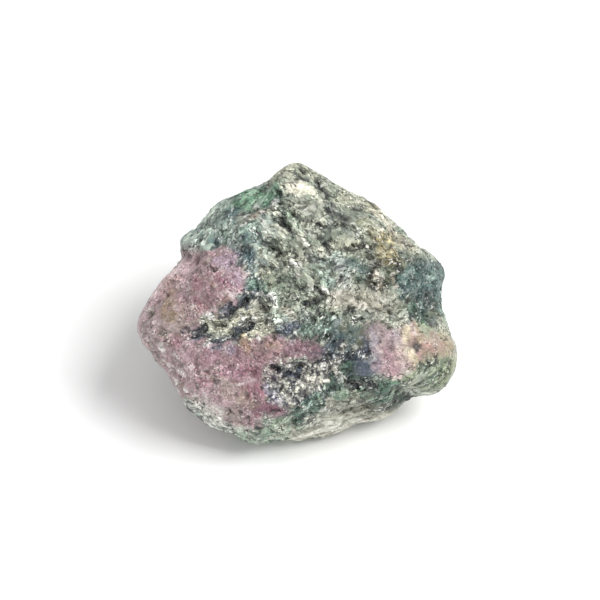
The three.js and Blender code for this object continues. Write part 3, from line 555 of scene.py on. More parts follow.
        (8.8, -13.2, 12.6, -12.9), (5.2, -13.3, 8.2, -13.5), (3.6, -12.8, 8.4, -12.2))),
    Mark("4c5044", 0.65, 0.75, 0, ((9, -13, 12.6, -12.9),)),
    Mark("66644f", 0.6, 0.22, 0.14, (
        (0.2, -16, 3.4, -15.4, 6.4, -14.4), (2.4, -16.4, 6.4, -15.5, 9.6, -14.2),
        (5.2, -13.2, 7.4, -12.8, 9.8, -12.2), (4.2, -13.9, 7.6, -13.5, 11, -12.4),
        (8.8, -11.8, 10.2, -11.5), (-3.6, -16.6, -0.6, -16.4, 1.6, -16.7))),
    Mark("f4f2e6", 0.6, 0.25, 0, (
        (0.4, -15.5, 3.6, -14.9, 5.8, -14.2), (1.6, -16.2, 5.6, -15.4, 8, -14.6),
        (3, -13.4, 6, -12.9), (6.6, -14, 9, -13.5))),
    # Dark and pale streaks in the greens
    Mark("24382e", 0.65, 0.35, 0.25, (
        (-0.2, -14.4, 0.8, -14), (2, -12.9, 3, -12.3), (11.8, -10.6, 13.6, -11),
        (11.6, -13.2, 12, -13.5), (12.4, -12, 13.2, -11.6), (1.2, -13.6, 2.2, -12.7),
        (2.2, -3.9, 3.4, -3.8), (1.8, -2.4, 2.6, -2.2), (9.8, -10.2, 11.2, -10.4))),
    Mark("c2d8cc", 0.7, 0.18, 0, (
        (1.2, -3.5, 2.4, -2.5), (1.9, -3.6, 3.5, -2.6), (2.8, -3.6, 4.4, -2.7), (3.9, -1.9, 4.6, -1.6),
        (0, -14, 1, -13.1), (0.6, -13.8, 1.8, -12.6), (1.4, -13, 2.6, -12),
        (2.1, -12.9, 3.1, -11.9), (13.6, 3, 14.8, 3.7), (14.6, 1.7, 15.8, 2.6), (15.4, 2.6, 16.8, 3.4),
        (16.8, 3, 17.4, 3.8), (13.8, 3.9, 14.8, 4.4), (16.2, 1.4, 17, 2))),
    Mark("28504e", 0.6, 0.35, 0.05, (
        (13.3, 2.6, 14.6, 3.1), (13.6, 1.6, 14.8, 2.1), (15, 3.2, 16.4, 4.2), (13.6, 3.5, 14.8, 4),
        (15.2, 2.1, 16.4, 2.6), (15.6, 4.6, 16.6, 4.9))),
    Mark("9aaaa4", 0.5, 0.6, 0, ((17.6, 4.2, 18.2, 1.8),)),
    # The grey-green shoulder
    Mark("8e6c5c", 0.55, 0.75, 0, ((-7, 10.8, -5.2, 11), (-4.8, 11, -4.2, 11.6))),
    Mark("2f5a44", 0.55, 0.25, 0.1, (
        (-6.8, 12.4, -5.4, 13.4), (-5.8, 12.1, -4.2, 13.2), (-4.8, 14.2, -3.4, 14.4),
        (-3.2, 12.6, -2.6, 13.6))),
    Mark("c4dcc4", 0.6, 0.2, 0, ((-6.4, 13.3, -5, 14), (-4.4, 13, -3.4, 13.6), (-5.4, 12.7, -4.6, 13.3))),
    Mark("4f7480", 0.5, 0.5, 0.1, (
        (-10.5, 7.6, -9.7, 7.5), (-8.6, 11.5, -7.6, 11.6), (-5.8, 6.4, -5.4, 5.2))),
    Mark("3c5048", 0.5, 0.3, 0.15, (
        (-10.6, 9.7, -9.9, 9.5), (-8.2, 11.9, -7.2, 12), (-11.9, 9, -11.8, 8.5))),
    # Shades of wider places: olive under the ochre stain, duller schist, and painted light on the rims
    Mark("4c4a34", 0.4, 1, 0, ((7.4, 6.8, 9.2, 6.2), (9, 5.3, 10.8, 5.2, 12.2, 4.9))),
    Mark("3f4a38", 0.42, 0.9, 0, ((10.9, 3.9, 12.6, 3.1), (8.6, 2.8, 9.9, 2.4))),
    Mark("7c7046", 0.3, 1.1, 0, ((9.6, 8.4, 10.8, 6.8, 11.6, 5.8),)),
    Mark("94968a", 0.45, 0.7, 0, ((10.6, 11.4, 11.9, 9.8), (12.6, 8.6, 13.8, 7.4))),
    Mark("2f4a4c", 0.36, 1, 0, ((13.6, 3.4, 14.6, 1.8),)),
    Mark("5c6858", 0.3, 1.1, 0, (
        (6.2, 2.9, 7.4, 2.2), (-1.2, 2.8, -0.2, 2.4), (6.2, -1.7, 7.3, -2.1), (-1.2, 7.4, -0.3, 6.9),
        (4, 9.6, 6.8, 9.2), (-8.2, 9.4, -5.8, 11.4), (11.2, 0.9, 12.6, 0.2))),
    Mark("3a3e48", 0.35, 0.5, 0, ((-11.2, -3.9, -10.2, -4.3),)),
    Mark("8c6276", 0.25, 1, 0, ((-8.6, 3, -7.8, 2.2),)),
    Mark("a8b4ac", 0.4, 0.9, 0, ((1.2, -1.6, 2.4, -2.2),)),
    Mark("c4acb6", 0.4, 0.8, 0, ((11.2, -3.8, 12.2, -4.4),)),
    Mark("94b49e", 0.35, 0.8, 0, ((-3.8, 13.7, -2.7, 14.1),)),
    Mark("e0c0c6", 0.3, 1.1, 0, ((-13.4, 6.4, -13.4, 4.9, -15.8, 2.6, -18.2, 0.2),)),
    # Dark and pale places along the lower edge
    Mark("20382f", 0.5, 0.7, 0, ((11.4, -10.6, 13.6, -10.4), (11.6, -12.2, 12.8, -12.8))),
    Mark("2a5038", 0.5, 0.4, 0, ((-0.3, -13.8, -0.1, -14.9), (1.9, -13.2, 3, -12.2))),
    Mark("1e2e2a", 0.8, 0.24, 0, ((-5.1, -15.4, -4.3, -15.6), (-3.9, -15.2, -3.4, -15.3))),
    Mark("aecaa6", 0.45, 0.45, 0, ((-2, -14.7, -0.9, -15.1),)),
    Mark("ece8e0", 0.7, 0.26, 0, ((-9.4, -13.1, -9.2, -14.1), (-11.4, -11.2, -11.2, -11.8))),
    # Soft shades that even out the tones last
    Mark("3c5450", 0.25, 1.2, 0, (
        (16.4, 5.2, 17.4, 4.4), (16.6, -1.2, 17.2, -2.4), (16.2, -7.8, 17, -9.2), (14, 3.2, 14.8, 2.2))),
    Mark("666a60", 0.3, 0.9, 0, (
        (1.2, 5.2, 2.2, 4.6), (1.2, 11.9, 2.2, 11.3), (4.4, 9.6, 6.8, 9.2), (-1.4, -10.6, -0.2, -11.1),
        (-6.3, 0.7, -5.2, 0.1), (1.2, -3.9, 2.2, -4.4), (6.2, -1.6, 7.2, -2.1))),
    Mark("8c5c74", 0.28, 0.9, 0, (
        (-11.2, -6.1, -10.2, -6.7), (-8.8, -8.4, -7.7, -8.9), (-3.8, -8.4, -2.7, -8.8),
        (-8.8, 2.9, -7.8, 2.3))),
    Mark("3c4658", 0.3, 0.6, 0, ((8.8, -6.2, 9.7, -6.6),)),
    Mark("c6ccc0", 0.32, 0.8, 0, ((1.3, -1.7, 2.2, -2.1), (1.3, 9.6, 2.2, 9.2))),
    Mark("dcb8c4", 0.3, 0.8, 0, ((-11.2, -10.7, -10.3, -11.1),)),
)


HIDDEN_PATCHES = (
    # The ruby runs on round the left-hand tip and under it
    Patch(Kind.RUBY, 3.0, (-95, 8, -82, -18)),
    Patch(Kind.RUBY_DULL, 2.6, (-70, -32, -48, -38)),
    # A second ruby patch on the back, with its navy edge
    Patch(Kind.NAVY, 4.0, (168, 14, 196, 2)),
    Patch(Kind.RUBY, 3.2, (172, 12, 192, 4)),
    Patch(Kind.RUBY_DULL, 1.8, (204, -14, 216, -20)),
    # Green bands across the back and the sides
    Patch(Kind.EMERALD, 2.2, (150, 16, 166, 22, 190, 24)),
    Patch(Kind.SHOULDER, 3.6, (210, 30, 232, 22, 250, 26)),
    Patch(Kind.TEAL, 2.2, (140, -8, 158, -20, 180, -24)),
    Patch(Kind.TEAL_FIBRE, 3.0, (92, 4, 112, -4, 126, -2)),
    Patch(Kind.BOTTLE, 2.0, (84, -22, 100, -30, 120, -34)),
    Patch(Kind.STREAK, 1.6, (20, -50, 44, -44, 66, -42)),
    Patch(Kind.CELADON, 2.6, (-30, -52, -6, -54)),
    # Cream layers, ochre stains and dark seams
    Patch(Kind.LAYERED, 2.0, (60, -30, 84, -42, 110, -50)),
    Patch(Kind.LAYERED, 2.2, (196, -34, 226, -40, 250, -36)),
    Patch(Kind.CREAM, 1.8, (120, 34, 130, 26)),
    Patch(Kind.CREAM, 1.6, (152, 8, 156, 0)),
    Patch(Kind.OCHRE, 2.0, (134, 30, 140, 18, 148, 12)),
    Patch(Kind.OCHRE, 1.6, (222, 2, 232, -6)),
    Patch(Kind.GREY_DARK, 1.0, (140, 18, 158, 24, 176, 26)),
    Patch(Kind.GREY_DARK, 0.9, (196, 22, 210, 12, 222, 14)),
    Patch(Kind.FRINGE, 1.4, (242, -12, 252, -18)),
    Patch(Kind.BEIGE, 2.4, (0, -80, 120, -82, 240, -80)),
)


HIDDEN_MARKS = (
    # The sorts of mark that chance lays on the hidden sides; their paths are found there
    # The first is black crevices in painted shade
    Mark("202428", 0.9, 0.3, 0.35, ()),
    Mark("4c5450", 0.5, 0.6, 0.1, ()),
    Mark("e8e4d2", 0.55, 0.6, 0.0, ()),
    Mark("a6bca6", 0.4, 0.8, 0.0, ()),
    Mark("f4f2e8", 0.65, 0.26, -0.1, ()),
)


def linear(code: str) -> tuple[float, ...]:
    """Turns six sRGB hex digits to linear red, green and blue with a full alpha."""
    channels = [int(code[i:i + 2], 16) / 255 for i in (0, 2, 4)]
    return *(c / 12.92 if c <= 0.04045 else ((c + 0.055) / 1.055) ** 2.4 for c in channels), 1.0


def add_node(
    tree: bpy.types.NodeTree, kind: str, inputs: dict[str | int, object] | None = None, **settings: object
) -> bpy.types.Node:
    """Adds one node with its settings and links.

    Args:
        tree: the tree that it joins.
        kind: its type without the prefix ShaderNode, such as TexNoise.
        inputs: for each input, by name or number, its value or the output that feeds it.
        settings: the node's own properties.

    Returns:
        The node.
    """
    made = tree.nodes.new("ShaderNode" + kind)
    for name, value in settings.items():
        setattr(made, name, value)
    for name, value in (inputs or {}).items():
        if isinstance(value, Socket):
            tree.links.new(value, made.inputs[name])
        else:
            made.inputs[name].default_value = value
    return made


def ease(value: Array, low: float, high: float) -> Array:
    """Runs smoothly from 0 at low to 1 at high."""
    share = np.clip((value - low) / (high - low), 0.0, 1.0)
    return share * share * (3.0 - 2.0 * share)


def merged(node: bpy.types.Object) -> bmesh.types.BMesh:
    """Copies a CAD node's mesh in mm, with the corners of its loose triangles joined.

    Args:
        node: the CAD object.

    Returns:
        The copy.
    """
    copy = bmesh.new()
    copy.from_mesh(node.data)
    bmesh.ops.remove_doubles(copy, verts=copy.verts, dist=0.001 * MM)
    bmesh.ops.scale(copy, vec=(1 / MM,) * 3, verts=copy.verts)
    return copy


@dataclass(frozen=True)
class Wave:
    """Smooth noise over the rock."""

    span: float  # mm from one wave to the next
    height: float  # what the noise, from about -1 to 1, is multiplied by
    shift: float  # moves the noise, so that no two waves look alike
    octaves: int = 1  # how many waves lie on each other, each half as long and half as high as the last

    def at(self, points: Array) -> Array:
        """Takes the wave at each point.

        Args:
            points: places in mm.

        Returns:
            One value for each point.
        """
        total = np.zeros(len(points))
        for octave in range(self.octaves):
            finer = 2.0 ** octave
            moved = points * (finer / self.span) + self.shift
            total += np.array([noise.noise(place) for place in moved.tolist()]) / finer
        return self.height * total


@dataclass
class Rock:
    """The CAD solid as a thing to measure: where its surface lies and which mineral is where."""

    node: bpy.types.Object  # the CAD object
    rng: np.random.Generator  # the source of chance for what is built on it
    depth_share: float = 0.35  # how much depth counts against a show patch, beside its width in the view
    # Span and reach in mm of the wander of a patch's edge, coarse and fine
    wander_waves: tuple[Pair, ...] = ((2.2, 1.1), (0.8, 0.5))
    wander_shifts: tuple[float, ...] = (3.1, 17.3, 29.7)  # what moves that noise, for each of three ways
    patch_stray: Pair = (0.6, 0.5)  # the most of the wander that its edge takes, also beside its half width
    mark_stray: Pair = (0.4, 0.6)  # the same for a mark
    run_stray: float = 1.5  # how much of the wander the edges between runs of fibres take
    breaks: Wave = Wave(0.8, 1.0, 6.3, octaves=2)  # the noise that breaks a mark up
    break_levels: Pair = (-0.35, 0.25)  # that noise where a mark is at its faintest, and where it is whole
    faintest: float = 0.45  # what is left of a mark where it is at its faintest
    mark_edge: int = 5  # the power that says how sharply a mark ends
    contrast: float = 0.8  # the power by which the light of the grains still shows in a mark
    hidden_seed: int = 7  # the seed of the marks on the hidden sides
    hidden_count: int = 260  # how many of them are tried
    hidden_depth: float = -1.0  # mm from the core towards the eye that they keep behind
    hidden_slope: float = 0.95  # sine of the greatest angle above or below the horizon where one starts
    hidden_step: float = 5.0  # how far in degrees each next point strays
    steepest: float = 88.0  # the greatest angle above or below the horizon of their points, in degrees

    def __post_init__(self) -> None:
        """Reads the node's surface and sets every patch and mark on it."""
        solid = merged(self.node)
        self.surface = BVHTree.FromBMesh(solid)
        solid.free()
        self.minerals = [kind.value for kind in Kind]
        self.numbers = {kind: number for number, kind in enumerate(Kind)}
        self.show_paths = [
            (patch, self.flattened(self.laid(self.seen, patch.path))) for patch in SHOW_PATCHES
        ]
        self.hidden_paths = [(patch, self.laid(self.outward, patch.path)) for patch in HIDDEN_PATCHES]
        self.run_marks = [self.laid(self.seen, RUN_MARKS[run]) for run in Run]
        self.marks = [
            (mark, self.flattened(self.laid(self.seen, path))) for mark in MARKS for path in mark.paths
        ]
        self.hidden_marks = list(self.chance_marks())

    def seen(self, across: float, up: float) -> Vector:
        """Finds the point of the surface that the show view has at a place.

        Args:
            across: mm to the right of the core.
            up: mm above it.

        Returns:
            The point about the core, in show axes.
        """
        eye = CORE + OUT * SHOW_DISTANCE
        aim = CORE + ACROSS * across + UP * up
        hit = self.surface.ray_cast(eye, aim - eye)[0] or self.surface.find_nearest(aim)[0]
        return SHOW_AXES @ (hit - CORE)

    @staticmethod
    def laid(way: Callable[[float, float], Vector], path: tuple[float, ...]) -> Array:
        """Finds the points of a path on the surface, each from two numbers, by sight or by direction."""
        return np.array([way(*point) for point in np.reshape(path, (-1, 2)).tolist()])

    def outward(self, turn: float, rise: float) -> Vector:
        """Finds the point of the surface in a direction from the core.

        Args:
            turn: degrees round from the front, towards the right.
            rise: degrees above the horizon.

        Returns:
            The point about the core, in show axes.
        """
        level = math.cos(math.radians(rise))
        way = Vector((
            math.sin(math.radians(turn)) * level,
            -math.cos(math.radians(turn)) * level,
            math.sin(math.radians(rise)),
        ))
        return SHOW_AXES @ (self.surface.ray_cast(CORE, way)[0] - CORE)

    def chance_marks(self) -> Iterator[tuple[Mark, Array]]:
        """Lays short crooked marks where the show view does not reach.

        Yields:
            Each mark with its path about the core, in show axes.
        """
        rng = np.random.default_rng(self.hidden_seed)
        for number in range(self.hidden_count):
            turn = rng.uniform(0.0, 360.0)
            rise = math.degrees(math.asin(rng.uniform(-self.hidden_slope, self.hidden_slope)))
            steps = rng.normal(0.0, self.hidden_step, (3, 2)).cumsum(axis=0)
            path = np.array([
                self.outward(turn + step, np.clip(rise + lift, -self.steepest, self.steepest))
                for step, lift in steps
            ])
            if path[:, 2].max() < self.hidden_depth:
                yield HIDDEN_MARKS[number % len(HIDDEN_MARKS)], path

    @staticmethod
    def about_core(points: Array) -> Array:
        """Turns places in mm to places about the core in show axes."""
        return (points - np.array(CORE)) @ np.array(SHOW_AXES).T

    @staticmethod
    def off_path(points: Array, path: Array) -> Array:
        """Measures how far each point is from the nearest stretch of a path.

        Args:
            points: places about the core in mm.
            path: the points of the path in mm.

        Returns:
            The distance in mm for each point.
        """
        nearest = np.full(len(points), np.inf)
        for origin, run in zip(path, np.diff(path, axis=0)):
            along = np.clip((points - origin) @ run / (run @ run), 0.0, 1.0)
            nearest = np.minimum(nearest, np.linalg.norm(points - origin - along[:, None] * run, axis=1))
        return nearest

    def flattened(self, points: Array) -> Array:
        """Projects places in show axes as the eye sees them, and shortens their depth."""
        nearer = SHOW_DISTANCE / (SHOW_DISTANCE - points[:, 2:3])
        return np.hstack([points[:, :2] * nearer, points[:, 2:3] * self.depth_share])

    def mineral_at(self, places: Array) -> Array:
        """Says which mineral is at each place.

        Args:
            places: mm, in the part's own axes.

        Returns:
            The number of the mineral for each place.
        """
        points = self.about_core(places)
        wander = self.wander(points)
        found = np.full(len(points), self.numbers[Kind.GREY])
        for patch, path in self.hidden_paths:
            found[self.off_path(points + wander, path) < patch.half] = self.numbers[patch.kind]
        flat = self.flattened(points)
        most, share = self.patch_stray
        for patch, path in self.show_paths:
            off = self.off_path(flat + wander * min(most, share * patch.half), path)
            found[off < patch.half] = self.numbers[patch.kind]
        return found

    def run_at(self, places: Array) -> Array:
        """Says which way the fibres run at each place, as the number of the run.

        Args:
            places: mm, in the part's own axes.

        Returns:
            The number of the run for each place.
        """
        points = self.about_core(places)
        strayed = points + self.run_stray * self.wander(points)
        return np.argmin([
            np.linalg.norm(strayed[:, None] - marks[None], axis=2).min(axis=1) for marks in self.run_marks
        ], axis=0)

    def trait(self, kinds: Array, name: str) -> Array:
        """Looks up a trait by its name in Mineral, for each of some minerals by number."""
        return np.array([getattr(mineral, name) for mineral in self.minerals], float)[kinds]

    def tints(self, kinds: Array, chance: Array) -> Array:
        """Picks the colour of each grain by the shares of its mineral's palette.

        Args:
            kinds: the number of each grain's mineral.
            chance: a number from 0 to 1 for each grain.

        Returns:
            Linear colours with alpha.
        """
        colours = np.ones((len(kinds), 4))
        for kind in np.unique(kinds):
            here = kinds == kind
            mineral = self.minerals[kind]
            shares = np.array([share for _, share in mineral.palette], float)
            bounds = np.cumsum(shares / shares.sum())
            chosen = np.minimum(np.searchsorted(bounds, chance[here]), len(shares) - 1)
            colours[here] = np.array([linear(code) for code, _ in mineral.palette])[chosen]
            colours[here, :3] *= mineral.light
        return colours

    def wander(self, points: Array) -> Array:
        """Works out how far the edge of a patch strays at each point, in mm.

        Args:
            points: places about the core in mm.

        Returns:
            The way that it strays there.
        """
        return sum(
            np.stack([Wave(span, reach, shift).at(points) for shift in self.wander_shifts], axis=1)
            for span, reach in self.wander_waves
        )

    def marked(self, places: Array, tint: Array, around: Array) -> tuple[Array, Array]:
        """Lays the marks over a tint and keeps the contrast of its grains.

        Args:
            places: mm, in the part's own axes.
            tint: the colour at each place.
            around: the mean colour round it.

        Returns:
            The marked colours, and how deep each place is sunk in mm.
        """
        points = self.about_core(places)
        flat = self.flattened(points)
        wander = self.wander(points)
        whole = self.faintest + (1.0 - self.faintest) * ease(self.breaks.at(points), *self.break_levels)
        light = (tint[:, :3].mean(axis=1) / around[:, :3].mean(axis=1)) ** self.contrast
        most, share = self.mark_stray
        marked = tint.copy()
        depth = np.zeros(len(points))
        laid = [(mark, path, flat) for mark, path in self.marks]
        laid += [(mark, path, points) for mark, path in self.hidden_marks]
        for mark, path, where in laid:
            off = self.off_path(where + wander * min(most, share * mark.half), path)
            cover = whole * np.exp2(-(off / mark.half) ** self.mark_edge)
            tone = np.array(linear(mark.tone)[:3])
            weight = (mark.strength * cover)[:, None]
            marked[:, :3] = (1.0 - weight) * marked[:, :3] + weight * tone * light[:, None]
            depth = np.where(np.abs(mark.depth) * cover > np.abs(depth), mark.depth * cover, depth)
        return marked, depth


@dataclass
class Bed:
    """Grains of one kind packed over the surface, each a cell round its seed."""

    grain: Grain
    run: Run  # which way it is stretched
    seeds: Array  # the middle of each grain in mm
    random: Array  # six random numbers for each, of which the last is spare
    kinds: Array  # the number of each grain's mineral
    tree: kdtree.KDTree  # finds the seeds near a place
    stray: ClassVar[float] = 0.35  # how far in mm grains of two minerals mix where they meet
    fewest: ClassVar[int] = 4  # the least seeds in a bed
    apart: ClassVar[int] = 3  # how many points of the surface there are to a seed at least

    @staticmethod
    def squeezed(points: Array, grain: Grain, run: Run) -> Array:
        """Shrinks space so that the cells of a kind of grain come out round."""
        return Rock.about_core(points) @ np.array(run.axes).T / np.array(grain.value)

    @classmethod
    def sown(cls, grain: Grain, run: Run, rock: Rock, surface: Array, area: float) -> "Bed":
        """Sows the seeds of a bed over the surface.

        Args:
            grain: the kind of grain.
            run: which way it is stretched.
            rock: says which mineral is where.
            surface: points that lie evenly over the surface, in mm.
            area: the area that they stand for, in square mm.

        Returns:
            The bed.
        """
        along, across, _ = grain.value
        count = max(cls.fewest, min(int(area / (along * across)), len(surface) // cls.apart))
        seeds = surface[rock.rng.choice(len(surface), count, replace=False)]
        tree = kdtree.KDTree(count)
        for number, place in enumerate(cls.squeezed(seeds, grain, run)):
            tree.insert(place, number)
        tree.balance()
        strayed = seeds + rock.rng.normal(0.0, cls.stray, seeds.shape)
        return cls(grain, run, seeds, rock.rng.random((count, 6)), rock.mineral_at(strayed), tree)

    def nearest(self, points: Array) -> tuple[Array, Array]:
        """Finds the grain that each point is in.

        Args:
            points: places in mm.

        Returns:
            The grain's number, and how far the point is from the seam to the next grain, in grain sizes.
        """
        own = np.zeros(len(points), int)
        seam = np.zeros(len(points))
        for number, place in enumerate(self.squeezed(points, self.grain, self.run)):
            (_, first, near), (_, _, far) = self.tree.find_n(place, 2)
            own[number] = first
            seam[number] = far - near
        return own, seam


@dataclass(frozen=True)
class StoneFinish:
    """Freshly broken schist and ruby: dull where it is granular, with sunk light in the ruby."""

    name: str
    coat: float  # the share of clear gloss over it, as on a cleavage face
    coat_roughness: float = 0.15  # how rough that gloss is
    ior: float = 1.58  # the index of refraction, as of mica
    speck: float = 0.17  # size in mm of the single mineral specks, across the fibres
    stretch: float = 2.4  # how much longer they are along the fibres
    even: float = 0.9  # how many specks of the ruby lie side by side in the room of one across the fibres
    bend: float = 1.5  # how far in mm the fibres bend
    bend_span: float = 4.0  # mm from bend to bend
    # How light specks are, as shares of all specks against halves of the grain's own tint
    speck_levels: tuple[Pair, ...] = (
        (0.0, 0.04), (0.1, 0.14), (0.22, 0.4), (0.72, 0.54), (0.89, 0.84), (1.0, 0.95))
    speck_mean: float = 0.47  # the level that they fade to
    pale_specks: float = 0.07  # the share of specks that are white mica
    pale_tone: str = "f0eee8"  # their sRGB hex colour
    pale_strength: float = 0.7  # how far they cover the tint where the rock is lively
    calm: float = 0.7  # how far the specks fade where the rock is calm
    calm_span: float = 2.0  # mm from one calm place to the next
    calm_levels: Pair = (0.4, 0.6)  # the noise where the specks start to fade, and where the rock is calm
    crack_span: float = 0.9  # mm from crack to crack in the schist
    crack_width: float = 0.19  # greatest width of a crack in mm
    crack_least: float = 0.001  # least width of a crack in spans, which keeps the shader from dividing by 0
    crack_painted_shade: float = 0.22  # what the painted shade in a crack leaves of the tint
    crack_bend: float = 2.0  # how far the cracks bend, in spans
    crack_stretch: float = 1.6  # how much longer the pieces between them are along the fibres
    crack_breaks: float = 1.2  # from one break in the cracks to the next, in spans
    crack_levels: Pair = (0.46, 0.68)  # the noise where a crack opens, and where it is widest
    shiny: Pair = (0.6, 0.22)  # the share of specks from which on they shine, and how far roughness falls
    grit: float = 0.12  # size in mm of the finest roughness
    speck_bump: Pair = (0.5, 0.06)  # strength and height in mm of the specks and the grit
    crack_bump: Pair = (0.8, 0.15)  # strength and depth in mm of the cracks
    sunk_light: tuple[float, ...] = (0.9, 0.5, 0.55)  # how far red, green and blue light sink into the ruby
    sunk_depth: float = 0.4  # mm for each 1 of that

    def material(self) -> bpy.types.Material:
        """Makes the material, or finds it where another piece has it already.

        Returns:
            The material.
        """
        if self.name in bpy.data.materials:
            return bpy.data.materials[self.name]
        made = bpy.data.materials.new(self.name)
        made.use_nodes = True
        made.node_tree.nodes.clear()
        Shader(self, made.node_tree).build()
        return made


@dataclass
class Shader:
    """The nodes of one stone finish, which read the tint, gloss, glow, granular, calm and run attributes."""

    finish: StoneFinish
    tree: bpy.types.NodeTree

    def __post_init__(self) -> None:
        """Adds the object coordinates, and the attributes that more than one part reads."""
        self.place = add_node(self.tree, "TexCoord").outputs["Object"]
        self.granular = self.attribute("granular")
        self.calm = self.attribute("calm")

    def attribute(self, name: str, output: str = "Fac") -> Socket:
        """Reads an attribute of the mesh as a number, or as a colour through the output Color."""
        return add_node(self.tree, "Attribute", attribute_name=name).outputs[output]

    def bent(self, reach: float, **noise_inputs: float) -> Socket:
        """Bends the coordinates.

        Args:
            reach: how far they bend, in mm.
            noise_inputs: the scale and detail of the noise that bends them.

        Returns:
            The bent coordinates.
        """
        bend = add_node(self.tree, "TexNoise", {"Vector": self.place, **noise_inputs})
        strayed = add_node(self.tree, "VectorMath", {
            0: bend.outputs["Color"], "Scale": reach * MM,
        }, operation="SCALE")
        return add_node(self.tree, "VectorMath", {
            0: self.place, 1: strayed.outputs["Vector"],
        }).outputs["Vector"]

    def lined(self, curved: Socket, run: Run, stretch: float) -> Socket:
        """Stretches the coordinates along the fibres of a run.

        Args:
            curved: the coordinates, bent by noise.
            run: the run of the fibres.
            stretch: how many times longer things are along them.

        Returns:
            The stretched coordinates.
        """
        turn = (run.axes @ SHOW_AXES).transposed().to_euler()
        return add_node(self.tree, "Mapping", {
            "Vector": curved, "Rotation": tuple(turn), "Scale": (stretch, 1.0, 1.0),
        }, vector_type="TEXTURE").outputs["Vector"]

    def specks(self) -> tuple[Socket, Socket]:
        """Adds the specks: stretched along the fibres in the schist, even in the ruby.

        Returns:
            The random colour of the speck at each place, and the distance from its middle.
        """
        finish, tree = self.finish, self.tree
        scale = 1 / (finish.speck * MM)
        curved = self.bent(finish.bend, Scale=1 / (finish.bend_span * MM))
        runs = add_node(tree, "SeparateColor", {"Color": self.attribute("run", "Color")})
        even = add_node(tree, "TexVoronoi", {"Vector": self.place, "Scale": scale * finish.even})
        colour, depth = even.outputs["Color"], even.outputs["Distance"]
        for run, channel in zip(Run, ("Red", "Green", "Blue")):
            long = add_node(tree, "TexVoronoi", {
                "Vector": self.lined(curved, run, finish.stretch), "Scale": scale,
            })
            share = add_node(tree, "Math", {
                0: runs.outputs[channel], 1: self.granular,
            }, operation="SUBTRACT")
            here = add_node(tree, "Math", {
                0: share.outputs["Value"], 1: 0.5,
            }, operation="GREATER_THAN").outputs["Value"]
            colour = add_node(tree, "Mix", {
                "Factor": here, 6: colour, 7: long.outputs["Color"],
            }, data_type="RGBA").outputs[2]
            depth = add_node(tree, "Mix", {
                "Factor": here, "A": depth, "B": long.outputs["Distance"],
            }).outputs["Result"]
        return colour, depth

    def quiet(self) -> Socket:
        """Adds the places where the specks fade, by chance and in calm minerals: 1 where they fade most.

        Returns:
            A share from 0 to 1.
        """
        cloud = add_node(self.tree, "TexNoise", {
            "Vector": self.place, "Scale": 1 / (self.finish.calm_span * MM), "Detail": 2.0,
        })
        lively, still = self.finish.calm_levels
        share = add_node(self.tree, "MapRange", {
            "Value": cloud.outputs["Fac"], "From Min": lively, "From Max": still,
        })
        return add_node(self.tree, "Math", {
            0: share.outputs["Result"], 1: self.calm,
        }, operation="ADD", use_clamp=True).outputs["Value"]

    def colour(self, chance: Socket, pale_chance: Socket, quiet: Socket, groove: Socket) -> Socket:
        """Shades the tint speck by speck, and adds the painted shade of the cracks and the flecks of white
        mica.

        Args:
            chance: a random number for each speck, for how light it is.
            pale_chance: another, for whether it is white mica.
            quiet: how far the specks fade at each place.
            groove: 0 in the cracks and 1 elsewhere.

        Returns:
            The colour.
        """
        finish, tree = self.finish, self.tree
        shade = add_node(tree, "ValToRGB", {"Fac": chance})
        stops = shade.color_ramp.elements
        while len(stops) < len(finish.speck_levels):
            stops.new(0.5)
        for stop, (share, light) in zip(stops, finish.speck_levels):
            stop.position = share
            stop.color = (light, light, light, 1.0)
        fade = add_node(tree, "Math", {0: quiet, 1: finish.calm}, operation="MULTIPLY")
        faded = add_node(tree, "Mix", {
            "Factor": fade.outputs["Value"], "A": shade.outputs["Color"], "B": finish.speck_mean,
        })
        # The levels are halves, so that a speck can be up to twice as light as its tint
        doubled = add_node(tree, "Math", {0: faded.outputs["Result"], 1: 2.0}, operation="MULTIPLY")
        shaded = add_node(tree, "Mix", {
            "Factor": 1.0, 6: self.attribute("tint", "Color"), 7: doubled.outputs["Value"],
        }, data_type="RGBA", blend_type="MULTIPLY")
        # Painted shade in the cracks: the tint darkens where the groove is deep
        light = add_node(tree, "MapRange", {"Value": groove, "To Min": finish.crack_painted_shade})
        cracked = add_node(tree, "Mix", {
            "Factor": 1.0, 6: shaded.outputs[2], 7: light.outputs["Result"],
        }, data_type="RGBA", blend_type="MULTIPLY")
        pale = add_node(tree, "Math", {
            0: pale_chance, 1: 1.0 - finish.pale_specks,
        }, operation="GREATER_THAN")
        lively = add_node(tree, "MapRange", {
            "Value": quiet, "To Min": finish.pale_strength, "To Max": 0.0,
        })
        share = add_node(tree, "Math", {
            0: pale.outputs["Value"], 1: lively.outputs["Result"],
        }, operation="MULTIPLY")
        return add_node(tree, "Mix", {
            "Factor": share.outputs["Value"], 6: cracked.outputs[2], 7: linear(finish.pale_tone),
        }, data_type="RGBA").outputs[2]

    def groove(self) -> Socket:
        """Adds the thin cracks between bundles of mica: 0 in them and 1 elsewhere.

        Returns:
            A share from 0 to 1.
        """
        finish, tree = self.finish, self.tree
        scale = 1 / (finish.crack_span * MM)
        curved = self.bent(finish.crack_bend * finish.crack_span, Scale=scale, Detail=4.0)
        net = add_node(tree, "TexVoronoi", {
            "Vector": self.lined(curved, Run.FALLING, finish.crack_stretch), "Scale": scale,
        }, feature="DISTANCE_TO_EDGE")
        breaks = add_node(tree, "TexNoise", {
            "Vector": self.place, "Scale": 1 / (finish.crack_breaks * finish.crack_span * MM), "Detail": 2.0,
        })
        opening, widest = finish.crack_levels
        width = add_node(tree, "MapRange", {
            "Value": breaks.outputs["Fac"], "From Min": opening, "From Max": widest,
            "To Max": finish.crack_width / finish.crack_span,
        })
